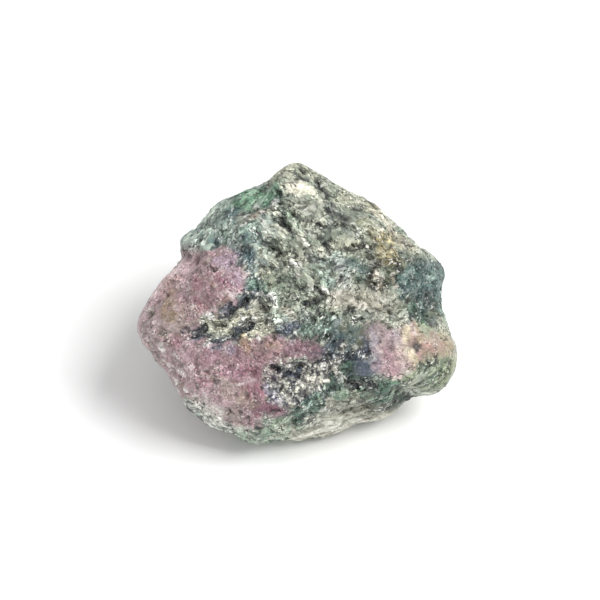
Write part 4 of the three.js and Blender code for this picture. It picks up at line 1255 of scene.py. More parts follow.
        # The more granular or calm a mineral is, the thinner its cracks are
        whole = add_node(tree, "Math", {0: self.granular, 1: self.calm}, operation="ADD", use_clamp=True)
        schist = add_node(tree, "Math", {0: 1.0, 1: whole.outputs["Value"]}, operation="SUBTRACT")
        width = add_node(tree, "Math", {
            0: width.outputs["Result"], 1: schist.outputs["Value"], 2: finish.crack_least,
        }, operation="MULTIPLY_ADD")
        return add_node(tree, "MapRange", {
            "Value": net.outputs["Distance"], "From Max": width.outputs["Value"],
        }, interpolation_type="SMOOTHSTEP").outputs["Result"]

    def normal(self, depth: Socket, groove: Socket) -> Socket:
        """Adds the bump of the specks and the grit, and over it that of the cracks.

        Args:
            depth: the distance from the middle of each speck.
            groove: 0 in the cracks and 1 elsewhere.

        Returns:
            The bumped normal.
        """
        grit = add_node(self.tree, "TexNoise", {
            "Vector": self.place, "Scale": 1 / (self.finish.grit * MM), "Detail": 2.0, "Roughness": 0.6,
        })
        height = add_node(self.tree, "Math", {0: depth, 1: grit.outputs["Fac"]}, operation="SUBTRACT")
        strength, reach = self.finish.speck_bump
        grainy = add_node(self.tree, "Bump", {
            "Height": height.outputs["Value"], "Strength": strength, "Distance": reach * MM,
        })
        strength, reach = self.finish.crack_bump
        return add_node(self.tree, "Bump", {
            "Height": groove, "Strength": strength, "Distance": reach * MM,
            "Normal": grainy.outputs["Normal"],
        }).outputs["Normal"]

    def build(self) -> None:
        """Joins the parts in the surface of the stone."""
        finish, tree = self.finish, self.tree
        chances, depth = self.specks()
        chances = add_node(tree, "SeparateColor", {"Color": chances}).outputs
        groove = self.groove()
        first, sheen = finish.shiny
        shine = add_node(tree, "MapRange", {
            "Value": chances["Green"], "From Min": first, "To Max": sheen,
        })
        rough = add_node(tree, "Math", {
            0: self.attribute("gloss"), 1: shine.outputs["Result"],
        }, operation="SUBTRACT")
        skin = add_node(tree, "BsdfPrincipled", {
            "Base Color": self.colour(chances["Red"], chances["Blue"], self.quiet(), groove),
            "Roughness": rough.outputs["Value"],
            "Subsurface Weight": self.attribute("glow"),
            "Subsurface Radius": finish.sunk_light,
            "Subsurface Scale": finish.sunk_depth * MM,
            "IOR": finish.ior,
            "Coat Weight": finish.coat,
            "Coat Roughness": finish.coat_roughness,
            "Normal": self.normal(depth, groove),
        })
        add_node(tree, "OutputMaterial", {"Surface": skin.outputs["BSDF"]})


class Finish(Enum):
    """The finishes of the lump's minerals, each named for what it is and how its surface came about."""

    # Broken across its grains, so it is dull, with a glint only where a single speck faces the light
    ROCK = StoneFinish("broken_mica_schist_with_ruby", 0.0)
    # Split along its sheets, which gives a pearly gloss
    MICA = StoneFinish("pearly_mica_cleavage", 0.2)
    # Fine green mica split into blades, silky because they are so narrow
    FUCHSITE = StoneFinish("silky_green_fuchsite", 0.15)
    # Ruby grains with worn corners: nearly as dull as the rock, with a waxy edge to their light
    RUBY = StoneFinish("waxy_ruby_grain", 0.1)


def show(thing: bpy.types.Mesh | bpy.types.Light | bpy.types.Camera) -> bpy.types.Object:
    """Puts a mesh, light or camera in the scene under its own name.

    Args:
        thing: what to put there.

    Returns:
        Its object.
    """
    made = bpy.data.objects.new(thing.name, thing)
    bpy.context.scene.collection.objects.link(made)
    return made


def put_attributes(mesh: bpy.types.Mesh, **values: Array) -> None:
    """Stores values for each vertex of a mesh.

    Args:
        mesh: the mesh.
        values: under each attribute's name its colours, in rows, or its single numbers.
    """
    for name, rows in values.items():
        kind, field = ("FLOAT_COLOR", "color") if rows.ndim > 1 else ("FLOAT", "value")
        attribute = mesh.attributes.new(name, kind, "POINT")
        attribute.data.foreach_set(field, np.ascontiguousarray(rows, dtype=np.float32).ravel())


def blurred(values: Array, edges: Array, passes: int) -> Array:
    """Spreads values over a mesh, from each vertex to its neighbours.

    Args:
        values: one row for each vertex.
        edges: the two vertices of each edge.
        passes: how often they are spread.

    Returns:
        The spread values.
    """
    count = len(values)
    degree = np.bincount(edges.ravel(), minlength=count)[:, None]
    for _ in range(passes):
        total = np.stack([
            np.bincount(edges[:, 0], values[edges[:, 1], column], count)
            + np.bincount(edges[:, 1], values[edges[:, 0], column], count)
            for column in range(values.shape[1])
        ], axis=1)
        values = 0.5 * values + 0.5 * total / degree
    return values


@dataclass
class Piece:
    """One object of the scene that belongs to the stone."""

    name: str
    slot: str  # the material slot that it goes with
    finish: Finish  # what its surface is

    def dress(self, mesh: bpy.types.Mesh) -> bpy.types.Object:
        """Puts the piece's mesh in the scene with its finish, under the body root.

        Args:
            mesh: the mesh.

        Returns:
            The piece.
        """
        mesh.materials.append(self.finish.value.material())
        piece = show(mesh)
        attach(piece, "root")
        return piece


@dataclass
class StoneBody(Piece):
    """The lump itself: the CAD solid cut finer, roughened grain by grain, and tinted, with painted shade in
    its hollows.
    """

    name: str = "stone_body"
    slot: str = "schist"
    finish: Finish = Finish.ROCK
    cuts: int = 3  # how often each edge of the solid is cut
    rounding: int = 5  # passes that take the facets off
    fewest: int = 20  # the least points that get grains of one kind and run
    seam_width: float = 0.3  # how far a seam, with its dip and its painted shade, reaches into a grain, in grain sizes
    seam_painted_shade: float = 0.4  # how much light the painted shade of a seam takes
    seam_relief: float = 0.06  # the relief in mm from which on it takes all of that
    heave: float = 2.0  # from the lowest to the highest grain, in reliefs of their mineral
    tip: float = 2.6  # how far they lean by chance, in reliefs for each mm
    lean: float = 0.45  # the most mm that a grain's lean counts for, so that no far corner makes a spike
    seam_drop: float = 0.9  # how deep a seam is, in reliefs
    around: int = 24  # how far a grain's surroundings reach, in passes over the mesh
    full_relief: float = 0.15  # the relief in mm of a mineral that counts as wholly rough
    knobs: Wave = Wave(2.3, 0.17, 1.7, octaves=2)  # the knobby relief
    crumbs: Wave = Wave(0.75, 0.09, 9.1)  # the finer relief on it
    crumbling: Pair = (0.4, 1.4)  # least and greatest share of the crumbs that a mineral has
    ledge: Pair = (1.15, 0.1)  # spacing and height in mm of the steps where mica sheets end
    bends: tuple[Wave, Wave] = (Wave(2.6, 0.7, 5.5), Wave(0.9, 0.25, 8.5))  # how the sheets bend
    tread: float = 0.75  # the share of a step that rises before it drops
    even: float = 0.3  # the roughness up to which a mineral has no steps
    most_steps: float = 1.2  # the greatest share of the steps that a mineral has
    pits: int = 500  # how many small pits there are
    pit_size: Pair = (0.25, 0.6)  # least and greatest radius of a pit in mm
    pit_depth: float = 0.7  # depth of a pit, in radii
    wear: float = 0.6  # how far the relief is rubbed off the edges of the lump
    wear_reach: int = 60  # how wide those edges are, in passes over the mesh
    edge: Pair = (0.08, 0.22)  # mm that an edge stands out where the wear begins, and where it is full
    shade: Pair = (0.5, 0.9)  # painted shade: light left in the depths, and the painted light that full height adds to it
    level: float = 0.5  # where an even place lies between the two
    painted_relief_shade: tuple[float, ...] = (1.4, 1.1, 0.6)  # how far a mm of relief, pit and sunk mark moves the painted shade
    resting: float = 0.05  # height in mm below which the lump is the flat that it lies on
    resting_relief: float = 0.5  # the share of the relief that is left there, turned up into the lump
    bare_marks: float = 4.0  # how bare of flakes a sunk mark is, for each mm

    def fine_mesh(self, node: bpy.types.Object) -> bmesh.types.BMesh:
        """Cuts a merged copy of the solid finer and rounds its facets.

        Args:
            node: the CAD object.

        Returns:
            The finer mesh, in mm.
        """
        body = merged(node)
        bmesh.ops.subdivide_edges(body, edges=body.edges, cuts=self.cuts, use_grid_fill=True)
        bmesh.ops.triangulate(body, faces=[face for face in body.faces if len(face.verts) > 3])
        for _ in range(self.rounding):
            bmesh.ops.smooth_vert(
                body, verts=body.verts, factor=0.5, use_axis_x=True, use_axis_y=True, use_axis_z=True)
        body.normal_update()
        return body

    def grains(self, points: Array, runs: Array, area: float, rock: Rock) -> tuple[Array, ...]:
        """Breaks the surface into grains.

        Args:
            points: places on the surface in mm.
            runs: the run of the fibres at each.
            area: the surface's area in square mm.
            rock: says which mineral is where.

        Returns:
            Each point's mineral by number, its height in mm, its tint with painted shade in its seams, and
            the middle of its grain.
        """
        kinds = rock.mineral_at(points)
        lift = np.zeros(len(points))
        tint = np.ones((len(points), 4))
        middles = points.copy()
        for grain in Grain:
            breaks_so = np.array([mineral.grain is grain for mineral in rock.minerals])
            for number, run in enumerate(Run):
                here = breaks_so[kinds] & (runs == number)
                if here.sum() < self.fewest:
                    continue
                bed = Bed.sown(grain, run, rock, points[here], area * here.mean())
                own, seam = bed.nearest(points[here])
                chance = bed.random[own]
                kinds[here] = bed.kinds[own]
                middles[here] = bed.seeds[own]
                relief = rock.trait(kinds[here], "relief")
                tilt = ((chance[:, 1:4] - 0.5) * (points[here] - middles[here])).sum(axis=1)
                tilt = np.clip(tilt, -self.lean, self.lean)
                crack = 1.0 - ease(seam, 0.0, self.seam_width)
                lift[here] = relief * (
                    self.heave * (chance[:, 0] - 0.5) + self.tip * tilt - self.seam_drop * crack)
                shades = rock.tints(kinds[here], chance[:, 4])
                # Painted shade in the seams between grains, darker where the relief is higher
                painted_seam_shade = self.seam_painted_shade * crack * np.minimum(relief / self.seam_relief, 1.0)
                shades[:, :3] *= (1.0 - painted_seam_shade)[:, None]
                tint[here] = shades
        return kinds, lift, tint, middles

    def ledges(self, points: Array, normals: Array) -> Array:
        """Works out the steps where mica sheets end: none where the surface runs along the sheets.

        Args:
            points: places on the surface in mm.
            normals: the surface's normals there.

        Returns:
            The height in mm of each point.
        """
        spacing, height = self.ledge
        through = sum((bend.at(points) for bend in self.bends), Rock.about_core(points) @ np.array(SHEETS))
        share = np.mod(through / spacing, 1.0)
        step = ease(share, 0.0, self.tread) - ease(share, self.tread, 1.0) - 0.5
        facing = np.abs((normals @ np.array(SHOW_AXES).T) @ np.array(SHEETS))
        return height * step * (1.0 - facing)

    def pitting(self, points: Array, rng: np.random.Generator) -> Array:
        """Works out how deep each point lies in a small pit.

        Args:
            points: places on the surface in mm.
            rng: the source of chance.

        Returns:
            The depth in mm for each point.
        """
        tree = kdtree.KDTree(len(points))
        for number, place in enumerate(points):
            tree.insert(place, number)
        tree.balance()
        depth = np.zeros(len(points))
        for number in rng.choice(len(points), self.pits, replace=False):
            radius = rng.uniform(*self.pit_size)
            for _, other, off in tree.find_range(points[number], radius):
                depth[other] = max(depth[other], self.pit_depth * radius * (1.0 - (off / radius) ** 2))
        return depth

    def build(self, rock: Rock) -> bpy.types.Object:
        """Makes the lump's mesh with its relief, its tints and the painted shade of its hollows.

        Args:
            rock: holds the CAD solid, and says which mineral is where.

        Returns:
            The finished piece, with the attributes tint, gloss, glow, granular, calm, run and bare.
        """
        body = self.fine_mesh(rock.node)
        area = sum(face.calc_area() for face in body.faces)
        points = np.array([vert.co for vert in body.verts])
        normals = np.array([vert.normal for vert in body.verts])
        edges = np.array([[vert.index for vert in edge.verts] for edge in body.edges])
        runs = rock.run_at(points)
        kinds, lift, tint, middles = self.grains(points, runs, area, rock)
        around = blurred(tint, edges, self.around)
        blend = rock.trait(kinds, "blend")[:, None]
        blended = (1.0 - blend) * tint + blend * around
        tint, sinking = rock.marked(0.5 * points + 0.5 * middles, blended, around)
        rough = rock.trait(kinds, "relief") / self.full_relief
        crumbs = self.crumbs.at(points) * np.clip(rough, *self.crumbling)
        steps = self.ledges(points, normals) * np.clip(rough - self.even, 0.0, self.most_steps)
        pits = self.pitting(points, rock.rng)
        bulge = ((points - blurred(points, edges, self.wear_reach)) * normals).sum(axis=1)
        worn = ease(bulge, *self.edge)
        lift = (lift + self.knobs.at(points) + crumbs + steps - pits) * (1.0 - self.wear * worn) - sinking
        # Painted shade and light: the tint darkens in hollows, pits and sunk marks, and lightens on raised
        # crumbs and steps
        by_relief, by_pits, by_marks = self.painted_relief_shade
        height = np.clip(
            self.level + by_relief * (crumbs + steps) - by_pits * pits - by_marks * np.maximum(sinking, 0.0),
            0.0, 1.0)
        painted_shade_darkest, painted_light_range = self.shade
        tint[:, :3] *= (painted_shade_darkest + painted_light_range * height)[:, None]
        moved = points + normals * lift[:, None]
        flat = points[:, 2] < self.resting
        moved[flat] = points[flat]
        moved[flat, 2] += np.abs(lift[flat]) * self.resting_relief
        moved[:, 2] = np.maximum(moved[:, 2], 0.0)
        for vert, place in zip(body.verts, moved):
            vert.co = place
        bmesh.ops.scale(body, vec=(MM,) * 3, verts=body.verts)
        for face in body.faces:
            face.smooth = False
        mesh = bpy.data.meshes.new(self.name)
        body.to_mesh(mesh)
        body.free()
        put_attributes(
            mesh, tint=tint,
            **{trait: rock.trait(kinds, trait) for trait in ("gloss", "glow", "granular", "calm")},
            run=np.eye(4)[runs], bare=np.clip(worn + self.bare_marks * sinking, 0.0, 1.0))
        return self.dress(mesh)


@dataclass
class Scatter(Piece):
    """Many small copies of a few shapes, joined in one mesh and seated on the stone."""

    number: int  # how many copies there are before each mineral keeps its share
    length: Pair  # least and greatest length of a copy in mm
    grains: tuple[Grain, ...]  # the kinds of grain that it lies on
    sunk: float  # how deep a copy sits, as a share of its thickness
    loose: float  # how far a copy turns away from lying flat
    lean: float  # how far all of them lean alike, so that they overlap like scales
    strewn: float  # how far they lie across the fibres
    borrowed: float  # how much of its tint it takes from the stone under it, less where the rock is speckled
    brightness: Pair  # what its tint is multiplied by, at least and at most
    gloss: float  # its roughness as a shader takes it
    sides: tuple[int, ...]  # how many sides each of the shapes has that are copied
    clear: float = 0.22  # mm that an end of a copy may be off the stone
    foot: float = 0.4  # mm above the ground below which there are none
    ground: float = 0.02  # mm above the ground below which no corner of one reaches
    # What the lengths are multiplied by as well, so that short ones are many
    shorter: Pair = (0.6, 1.0)
    swept: float = 0.9  # the share of them that is missing where the stone is bare
    least_borrowed: float = 0.45  # the share of borrowed that even the most speckled rock keeps
    lightest: float = 0.92  # the lightest that any channel of a tint is

    def shape(self, sides: int, rng: np.random.Generator) -> bmesh.types.BMesh:
        """Makes one of the shapes that are copied, about 1 long and lying in the XY plane."""
        raise NotImplementedError

    def keeps(self, mineral: Mineral) -> float:
        """Says what share of the copies a mineral keeps."""
        raise NotImplementedError

    def scattered(
        self, mesh: bpy.types.Mesh, rng: np.random.Generator
    ) -> tuple[Array, Array, Array, Array]:
        """Picks places spread evenly over the stone.

        Args:
            mesh: the stone's mesh of triangles, in metres.
            rng: the source of chance.

        Returns:
            The places in mm, the surface's normals there, its tints, and how bare of flakes it is.
        """
        points = np.zeros(len(mesh.vertices) * 3)
        mesh.vertices.foreach_get("co", points)
        corners = np.zeros(len(mesh.loops), int)
        mesh.loops.foreach_get("vertex_index", corners)
        corners = corners.reshape(-1, 3)
        triangles = (points.reshape(-1, 3) / MM)[corners]
        cross = np.cross(triangles[:, 1] - triangles[:, 0], triangles[:, 2] - triangles[:, 0])
        size = np.linalg.norm(cross, axis=1)
        chosen = rng.choice(len(triangles), self.number, p=size / size.sum())
        first, second = rng.random((2, self.number))
        over = first + second > 1.0
        first[over], second[over] = 1.0 - first[over], 1.0 - second[over]
        a, b, c = triangles[chosen].transpose(1, 0, 2)
        places = a + first[:, None] * (b - a) + second[:, None] * (c - a)
        tints = np.zeros(len(mesh.vertices) * 4)
        mesh.attributes["tint"].data.foreach_get("color", tints)
        bare = np.zeros(len(mesh.vertices))
        mesh.attributes["bare"].data.foreach_get("value", bare)
        corner = corners[chosen, 0]
        return places, cross[chosen] / size[chosen][:, None], tints.reshape(-1, 4)[corner], bare[corner]

    def seated(self, mesh: bpy.types.Mesh, places: Array, reach: Array) -> Array:
        """Says which copies lie on the stone with both their ends.

        Args:
            mesh: the stone's mesh, in metres.
            places: the middle of each copy in mm.
            reach: what leads from there to its end in mm.

        Returns:
            Whether each copy lies on it.
        """
        corners = [vert.co / MM for vert in mesh.vertices]
        surface = BVHTree.FromPolygons(corners, [tuple(face.vertices) for face in mesh.polygons])
        return np.array([
            max(surface.find_nearest(Vector(end))[3] for end in (place + way, place - way)) < self.clear
            for place, way in zip(places, reach)
        ])

    def stems(self, rng: np.random.Generator) -> list[tuple[Array, Array]]:
        """Makes the shapes that are copied, each as its corners and its triangles.

        Args:
            rng: the source of chance.

        Returns:
            The corners and the triangles of each.
        """
        stems = []
        for sides in self.sides:
            shape = self.shape(sides, rng)
            bmesh.ops.triangulate(shape, faces=shape.faces)
            bmesh.ops.recalc_face_normals(shape, faces=shape.faces)
            corners = np.array([vert.co for vert in shape.verts])
            faces = np.array([[vert.index for vert in face.verts] for face in shape.faces])
            shape.free()
            stems.append((corners, faces))
        return stems

    def build(self, stone: bpy.types.Object, rock: Rock) -> bpy.types.Object:
        """Scatters the copies over the stone and joins them.

        Args:
            stone: the finished lump.
            rock: says which mineral is where.

        Returns:
            The joined piece, with the attributes tint, gloss, glow, granular, calm and run.
        """
        rng = rock.rng
        places, normals, under, bare = self.scattered(stone.data, rng)
        kinds = rock.mineral_at(places)
        share = np.array([self.keeps(mineral) * (mineral.grain in self.grains) for mineral in rock.minerals])
        kept = rng.random(len(kinds)) < share[kinds] * (1.0 - self.swept * bare)
        kept &= places[:, 2] > self.foot
        places, normals, under, kinds = places[kept], normals[kept], under[kept], kinds[kept]
        count = len(kinds)
        borrowed = self.borrowed * np.minimum(self.least_borrowed + rock.trait(kinds, "blend"), 1.0)[:, None]
        tints = (1.0 - borrowed) * rock.tints(kinds, rng.random(count)) + borrowed * under
        tints[:, :3] = np.clip(tints[:, :3] * rng.uniform(*self.brightness, (count, 1)), 0.0, self.lightest)
        lengths = rng.uniform(*self.length, count) * rng.uniform(*self.shorter, count)
        axes = np.array(SHOW_AXES)
        lies = (np.array([run.axes[0] for run in Run]) @ axes)[rock.run_at(places)]
        lies = lies + self.strewn * rng.normal(0.0, 1.0, places.shape)
        ups = normals + self.loose * rng.normal(0.0, 1.0, places.shape)
        ups += self.lean * np.array(LEDGE_RISE) @ axes
        ups /= np.linalg.norm(ups, axis=1, keepdims=True)
        sides = np.cross(ups, lies)
        sides /= np.linalg.norm(sides, axis=1, keepdims=True)
        turns = np.stack([np.cross(sides, ups), sides, ups], axis=1)
        fits = self.seated(stone.data, places, turns[:, 0] * 0.5 * lengths[:, None])
        stems = self.stems(rng)
        picks = [rng.integers(len(stems)) for _ in range(fits.sum())]
        all_points, all_faces = [], []
        base = 0
        for pick, place, normal, turn, length in zip(
                picks, places[fits], normals[fits], turns[fits], lengths[fits]):
            corners, faces = stems[pick]
            thick = np.ptp(corners[:, 2]) * length
            all_points.append(corners * length @ turn + place + normal * thick * (0.5 - self.sunk))
            all_faces.append(faces + base)
            base += len(corners)
        points = np.vstack(all_points)
        points[:, 2] = np.maximum(points[:, 2], self.ground)
        mesh = bpy.data.meshes.new(self.name)
        mesh.from_pydata((points * MM).tolist(), [], np.vstack(all_faces).tolist())
        sizes = [len(stems[pick][0]) for pick in picks]
        put_attributes(
            mesh, tint=np.repeat(tints[fits], sizes, axis=0),
            gloss=np.full(len(points), self.gloss), glow=np.zeros(len(points)),
            **{trait: np.repeat(rock.trait(kinds[fits], trait), sizes) for trait in ("granular", "calm")},
            run=np.eye(4)[rock.run_at(points)])
        return self.dress(mesh)


@dataclass
class CleavagePlates(Scatter):
    """Thicker stacks of mica sheets that break the grey schist into small ledges."""

    name: str = "schist_plates"
    slot: str = "schist"
    finish: Finish = Finish.ROCK
    number: int = 1400
    length: Pair = (0.7, 2.2)
    grains: tuple[Grain, ...] = (Grain.FLAKY, Grain.FIBROUS)
    sunk: float = 0.72
    loose: float = 0.1
    lean: float = 0.25
    strewn: float = 0.5
    borrowed: float = 0.9
    brightness: Pair = (0.8, 1.15)
    gloss: float = 0.42
    sides: tuple[int, ...] = (6, 7, 8, 7, 6, 8)
    radii: Pair = (0.56, 0.46)  # radius of its lower and upper face
    thickness: float = 0.14  # its height
    rim: float = 0.09  # how much smaller the sheet on top of it is all round
    step: float = 0.05  # height of that sheet
    # How far it lies off the middle: by chance along the plate, and always across it
    shift: Pair = (0.05, 0.04)
    # What its radius is multiplied by at each corner, at least and at most
    uneven: Pair = (0.62, 1.2)
    aspect: float = 0.5  # its width to its length
    bump: float = 0.015  # the most that a corner stands up or down
    fullest: float = 2.4  # the flakes on each square mm of a mineral that keeps every plate
    most_glow: float = 0.1  # the glow from which on a mineral has no plates

    def shape(self, sides: int, rng: np.random.Generator) -> bmesh.types.BMesh:
        """Makes an uneven plate with a smaller sheet on top of it.

        Args:
            sides: how many sides it has.
            rng: the source of chance.

        Returns:
            The shape.
        """
        low, high = self.radii
        along, across = self.shift
        plate = bmesh.new()
        bmesh.ops.create_cone(
            plate, cap_ends=True, segments=sides, radius1=low, radius2=high, depth=self.thickness)
        plate.faces.ensure_lookup_table()
        top = max(plate.faces, key=lambda face: face.calc_center_median().z)
        bmesh.ops.inset_region(plate, faces=[top], thickness=self.rim, depth=0.0)
        raised = bmesh.ops.extrude_face_region(plate, geom=[top])
        bmesh.ops.delete(plate, geom=[top], context="FACES_ONLY")
        lifted = [item for item in raised["geom"] if isinstance(item, bmesh.types.BMVert)]
        bmesh.ops.translate(plate, vec=(rng.uniform(-along, along), across, self.step), verts=lifted)
        shares = rng.uniform(*self.uneven, sides)
        for vert in plate.verts:
            turn = math.atan2(vert.co.y, vert.co.x) / math.tau % 1.0
            share = shares[int(turn * sides + 0.5) % sides]
            vert.co.x *= share
            vert.co.y *= self.aspect * share
            vert.co.z += rng.uniform(-self.bump, self.bump)
        return plate

    def keeps(self, mineral: Mineral) -> float:
        """Says what share of the plates a mineral keeps."""
        return min(1.0, mineral.flakes / self.fullest) if mineral.glow < self.most_glow else 0.0


@dataclass
class MicaFlakes(Scatter):
    """Thin plates of mica with ragged edges, which give the schist its glinting speckle."""

    name: str = "mica_flakes"
    slot: str = "mica"
    finish: Finish = Finish.MICA
    number: int = 34000
    length: Pair = (0.2, 0.7)
    grains: tuple[Grain, ...] = tuple(Grain)
    sunk: float = 0.55
    loose: float = 0.1
    lean: float = 0.1
    strewn: float = 0.7
    borrowed: float = 0.88
    brightness: Pair = (0.6, 1.35)
    gloss: float = 0.34
    sides: tuple[int, ...] = (3, 4, 5, 4, 3, 5)
    radii: Pair = (0.5, 0.44)  # radius of its lower and upper face
    thickness: float = 0.1  # its height
    # What its radius is multiplied by at each corner, at least and at most
    uneven: Pair = (0.65, 1.25)
    aspect: float = 0.5  # its width to its length
    fullest: float = 3.0  # the flakes on each square mm of a mineral that keeps every one

    def shape(self, sides: int, rng: np.random.Generator) -> bmesh.types.BMesh:
        """Makes a plate with uneven corners.

        Args:
            sides: how many sides it has.
            rng: the source of chance.

        Returns:
            The shape.
        """
        low, high = self.radii
        flake = bmesh.new()
        bmesh.ops.create_cone(
            flake, cap_ends=True, segments=sides, radius1=low, radius2=high, depth=self.thickness)
        shares = rng.uniform(*self.uneven, sides)
        for number, vert in enumerate(flake.verts):
            vert.co.x *= shares[number // 2 % sides]
            vert.co.y *= self.aspect * shares[number // 2 % sides]
        return flake

    def keeps(self, mineral: Mineral) -> float:
        """Says what share of the flakes a mineral keeps."""
        return mineral.flakes / self.fullest


@dataclass
class FuchsiteBlades(Scatter):
    """Long thin blades of green mica that lie along the fibres of the rock."""

    name: str = "fuchsite_blades"
    slot: str = "mica"
    finish: Finish = Finish.FUCHSITE
    number: int = 12000
    length: Pair = (0.4, 1.1)
    grains: tuple[Grain, ...] = (Grain.FIBROUS,)
    sunk: float = 0.65
    loose: float = 0.08
    lean: float = 0.1
    strewn: float = 0.4
    borrowed: float = 0.7
    brightness: Pair = (0.6, 1.4)
    gloss: float = 0.34
    sides: tuple[int, ...] = (4,) * 5
    # Radius of the thick and the thin end of the square rod that a blade is pressed from
    radii: Pair = (0.7, 0.45)
    width: float = 0.16  # its width to that of the rod
    thickness: float = 0.08  # its thickness to that of the rod
    bend: float = 0.06  # the most that its middle stands off the line of its ends

    def shape(self, sides: int, rng: np.random.Generator) -> bmesh.types.BMesh:
        """Makes a blade that tapers and bends a little.

        Args:
            sides: how many sides it has.
            rng: the source of chance.

        Returns:
            The shape.
        """
        thick, thin = self.radii
        level = Matrix.Rotation(math.radians(90), 4, "Y") @ Matrix.Rotation(math.radians(45), 4, "Z")
        blade = bmesh.new()
        bmesh.ops.create_cone(
            blade, cap_ends=True, segments=sides, radius1=thick, radius2=thin, depth=1.0, matrix=level)
        bmesh.ops.scale(blade, vec=(1.0, self.width, self.thickness), verts=blade.verts)
        bmesh.ops.bisect_plane(
            blade, geom=blade.verts[:] + blade.edges[:] + blade.faces[:], plane_co=(0.0, 0.0, 0.0),
            plane_no=(1.0, 0.0, 0.0), dist=0.0001)
        bend = rng.uniform(-self.bend, self.bend)
        for vert in blade.verts:
            vert.co.y += bend * (1.0 - 4.0 * vert.co.x ** 2)
        return blade

    def keeps(self, mineral: Mineral) -> float:
        """Says what share of the blades a mineral keeps."""
        return min(1.0, mineral.flakes)


@dataclass
class RubyGrains(Scatter):
    """Blocky grains of ruby that stand a little out of the granular patches."""

    name: str = "ruby_grains"
    slot: str = "ruby"
    finish: Finish = Finish.RUBY
    number: int = 8000
    length: Pair = (0.2, 0.5)
    grains: tuple[Grain, ...] = (Grain.GRANULAR,)
    sunk: float = 0.78
    loose: float = 0.4
    lean: float = 0.0
    strewn: float = 0.5
    borrowed: float = 0.7
    brightness: Pair = (0.75, 1.25)
    gloss: float = 0.38
    sides: tuple[int, ...] = (20,) * 6
    # What its radius is multiplied by at each corner, at least and at most
    uneven: Pair = (0.8, 1.15)
    box: tuple[float, float, float] = (1.0, 0.8, 0.62)  # its length, width and height
    fewest: float = 0.35  # the share of them that any ruby keeps; its flakes add to that

    def shape(self, sides: int, rng: np.random.Generator) -> bmesh.types.BMesh:
        """Makes an uneven block with worn corners from a ball of 20 sides.

        Args:
            sides: not used; the shape is a ball of 20 triangles, as no ball of triangles has fewer.
            rng: the source of chance.

        Returns:
            The shape.
        """
        block = bmesh.new()
        bmesh.ops.create_icosphere(block, subdivisions=1, radius=0.5)
        for vert in block.verts:
            vert.co *= rng.uniform(*self.uneven)
        bmesh.ops.scale(block, vec=self.box, verts=block.verts)
        return block

    def keeps(self, mineral: Mineral) -> float:
        """Says what share of the grains a mineral keeps: none where no light sinks in, as in schist."""
        return min(1.0, self.fewest + mineral.flakes) if mineral.glow > 0.0 else 0.0


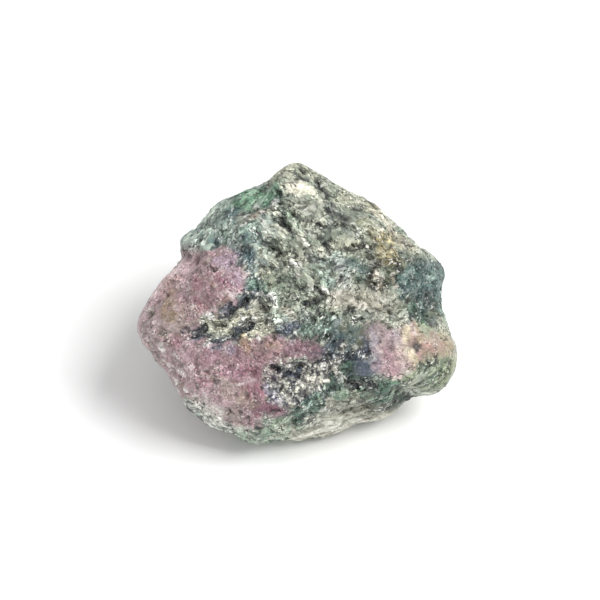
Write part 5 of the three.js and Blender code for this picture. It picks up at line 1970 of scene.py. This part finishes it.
@dataclass(frozen=True)
class Studio:
    """The pale sheet that the lump stands on, and the soft light over it."""

    sheet: float = 2.0  # half the side of the sheet in m
    sheet_tone: str = "f4f4f4"  # its sRGB hex colour
    sheet_roughness: float = 0.9  # its roughness as a shader takes it
    key_size: float = 0.22  # side of the soft light in m
    key_distance: float = 0.42  # how far it is from the lump in m
    key_power: float = 1.7  # its power in W
    # Degrees that it stands off the vertical, to the right and to the back
    key_lean: Pair = (32.5, -7.0)
    sky: float = 0.7  # strength of the even light from all round
    sky_tone: str = "ffffff"  # sRGB hex colour of that light

    def lay_sheet(self) -> None:
        """Lays the sheet: matt white paper, which shows the lump's soft shadow and no shine."""
        plane = bmesh.new()
        bmesh.ops.create_grid(plane, x_segments=1, y_segments=1, size=self.sheet)
        mesh = bpy.data.meshes.new("sheet")
        plane.to_mesh(mesh)
        plane.free()
        sheet = show(mesh)
        paper = bpy.data.materials.new("matt_white_paper")
        paper.use_nodes = True
        shader = paper.node_tree.nodes["Principled BSDF"]
        shader.inputs["Base Color"].default_value = linear(self.sheet_tone)
        shader.inputs["Roughness"].default_value = self.sheet_roughness
        mesh.materials.append(paper)
        sheet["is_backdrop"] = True

    def hang_light(self) -> None:
        """Hangs the soft light."""
        lamp = bpy.data.lights.new("softbox", "AREA")
        lamp.shape = "SQUARE"
        lamp.size = self.key_size
        lamp.energy = self.key_power
        key = show(lamp)
        right, back = (math.tan(math.radians(angle)) for angle in self.key_lean)
        way = Vector((right, back, 1.0)).normalized()
        key.location = way * self.key_distance
        key.rotation_euler = way.to_track_quat("Z", "Y").to_euler()

    def build(self) -> None:
        """Lays the sheet, hangs the light and sets the even light round them."""
        self.lay_sheet()
        self.hang_light()
        world = bpy.data.worlds.new("even_light")
        world.use_nodes = True
        air = world.node_tree.nodes["Background"]
        air.inputs["Color"].default_value = linear(self.sky_tone)
        air.inputs["Strength"].default_value = self.sky
        bpy.context.scene.world = world
        bpy.context.scene.view_settings.view_transform = "Standard"


@dataclass(frozen=True)
class ShowCamera:
    """The camera at the show view: a long lens, so that the lump looks as flat as it does up close."""

    lens: float = 150.0  # focal length in mm
    film: float = 36.0  # width of the film in mm
    nearest: float = 0.01  # m from the camera at which things begin to show
    core_right: float = -0.5  # mm that the core lies to the right of the picture's middle
    core_up: float = -0.5  # mm that it lies above it

    def build(self) -> None:
        """Sets the camera and makes it the scene's."""
        data = bpy.data.cameras.new("show_camera")
        data.lens = self.lens
        data.sensor_width = self.film
        data.clip_start = self.nearest
        camera = show(data)
        aim = CORE - ACROSS * self.core_right - UP * self.core_up
        camera.location = (aim + OUT * SHOW_DISTANCE) * MM
        camera.rotation_euler = OUT.to_track_quat("Z", "Y").to_euler()
        bpy.context.scene.camera = camera


def main() -> None:
    """Builds the camera and light, then the lump and what is scattered over it."""
    logging.basicConfig(level=logging.INFO)
    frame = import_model()
    solid_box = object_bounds()
    ShowCamera().build()
    Studio().build()
    rock = Rock(frame["nodes"]["stone"], np.random.default_rng(SEED))
    stone = StoneBody().build(rock)
    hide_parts("stone")
    log.info("%s: %d faces", stone.name, len(stone.data.polygons))
    for layer in (CleavagePlates(), MicaFlakes(), FuchsiteBlades(), RubyGrains()):
        piece = layer.build(stone, rock)
        log.info("%s: %d faces", piece.name, len(piece.data.polygons))

    boxes = {"cad": solid_box, "visual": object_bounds()}
    {name: [list(corner) for corner in box] for name, box in boxes.items()}


if __name__ == "__main__":
    main()
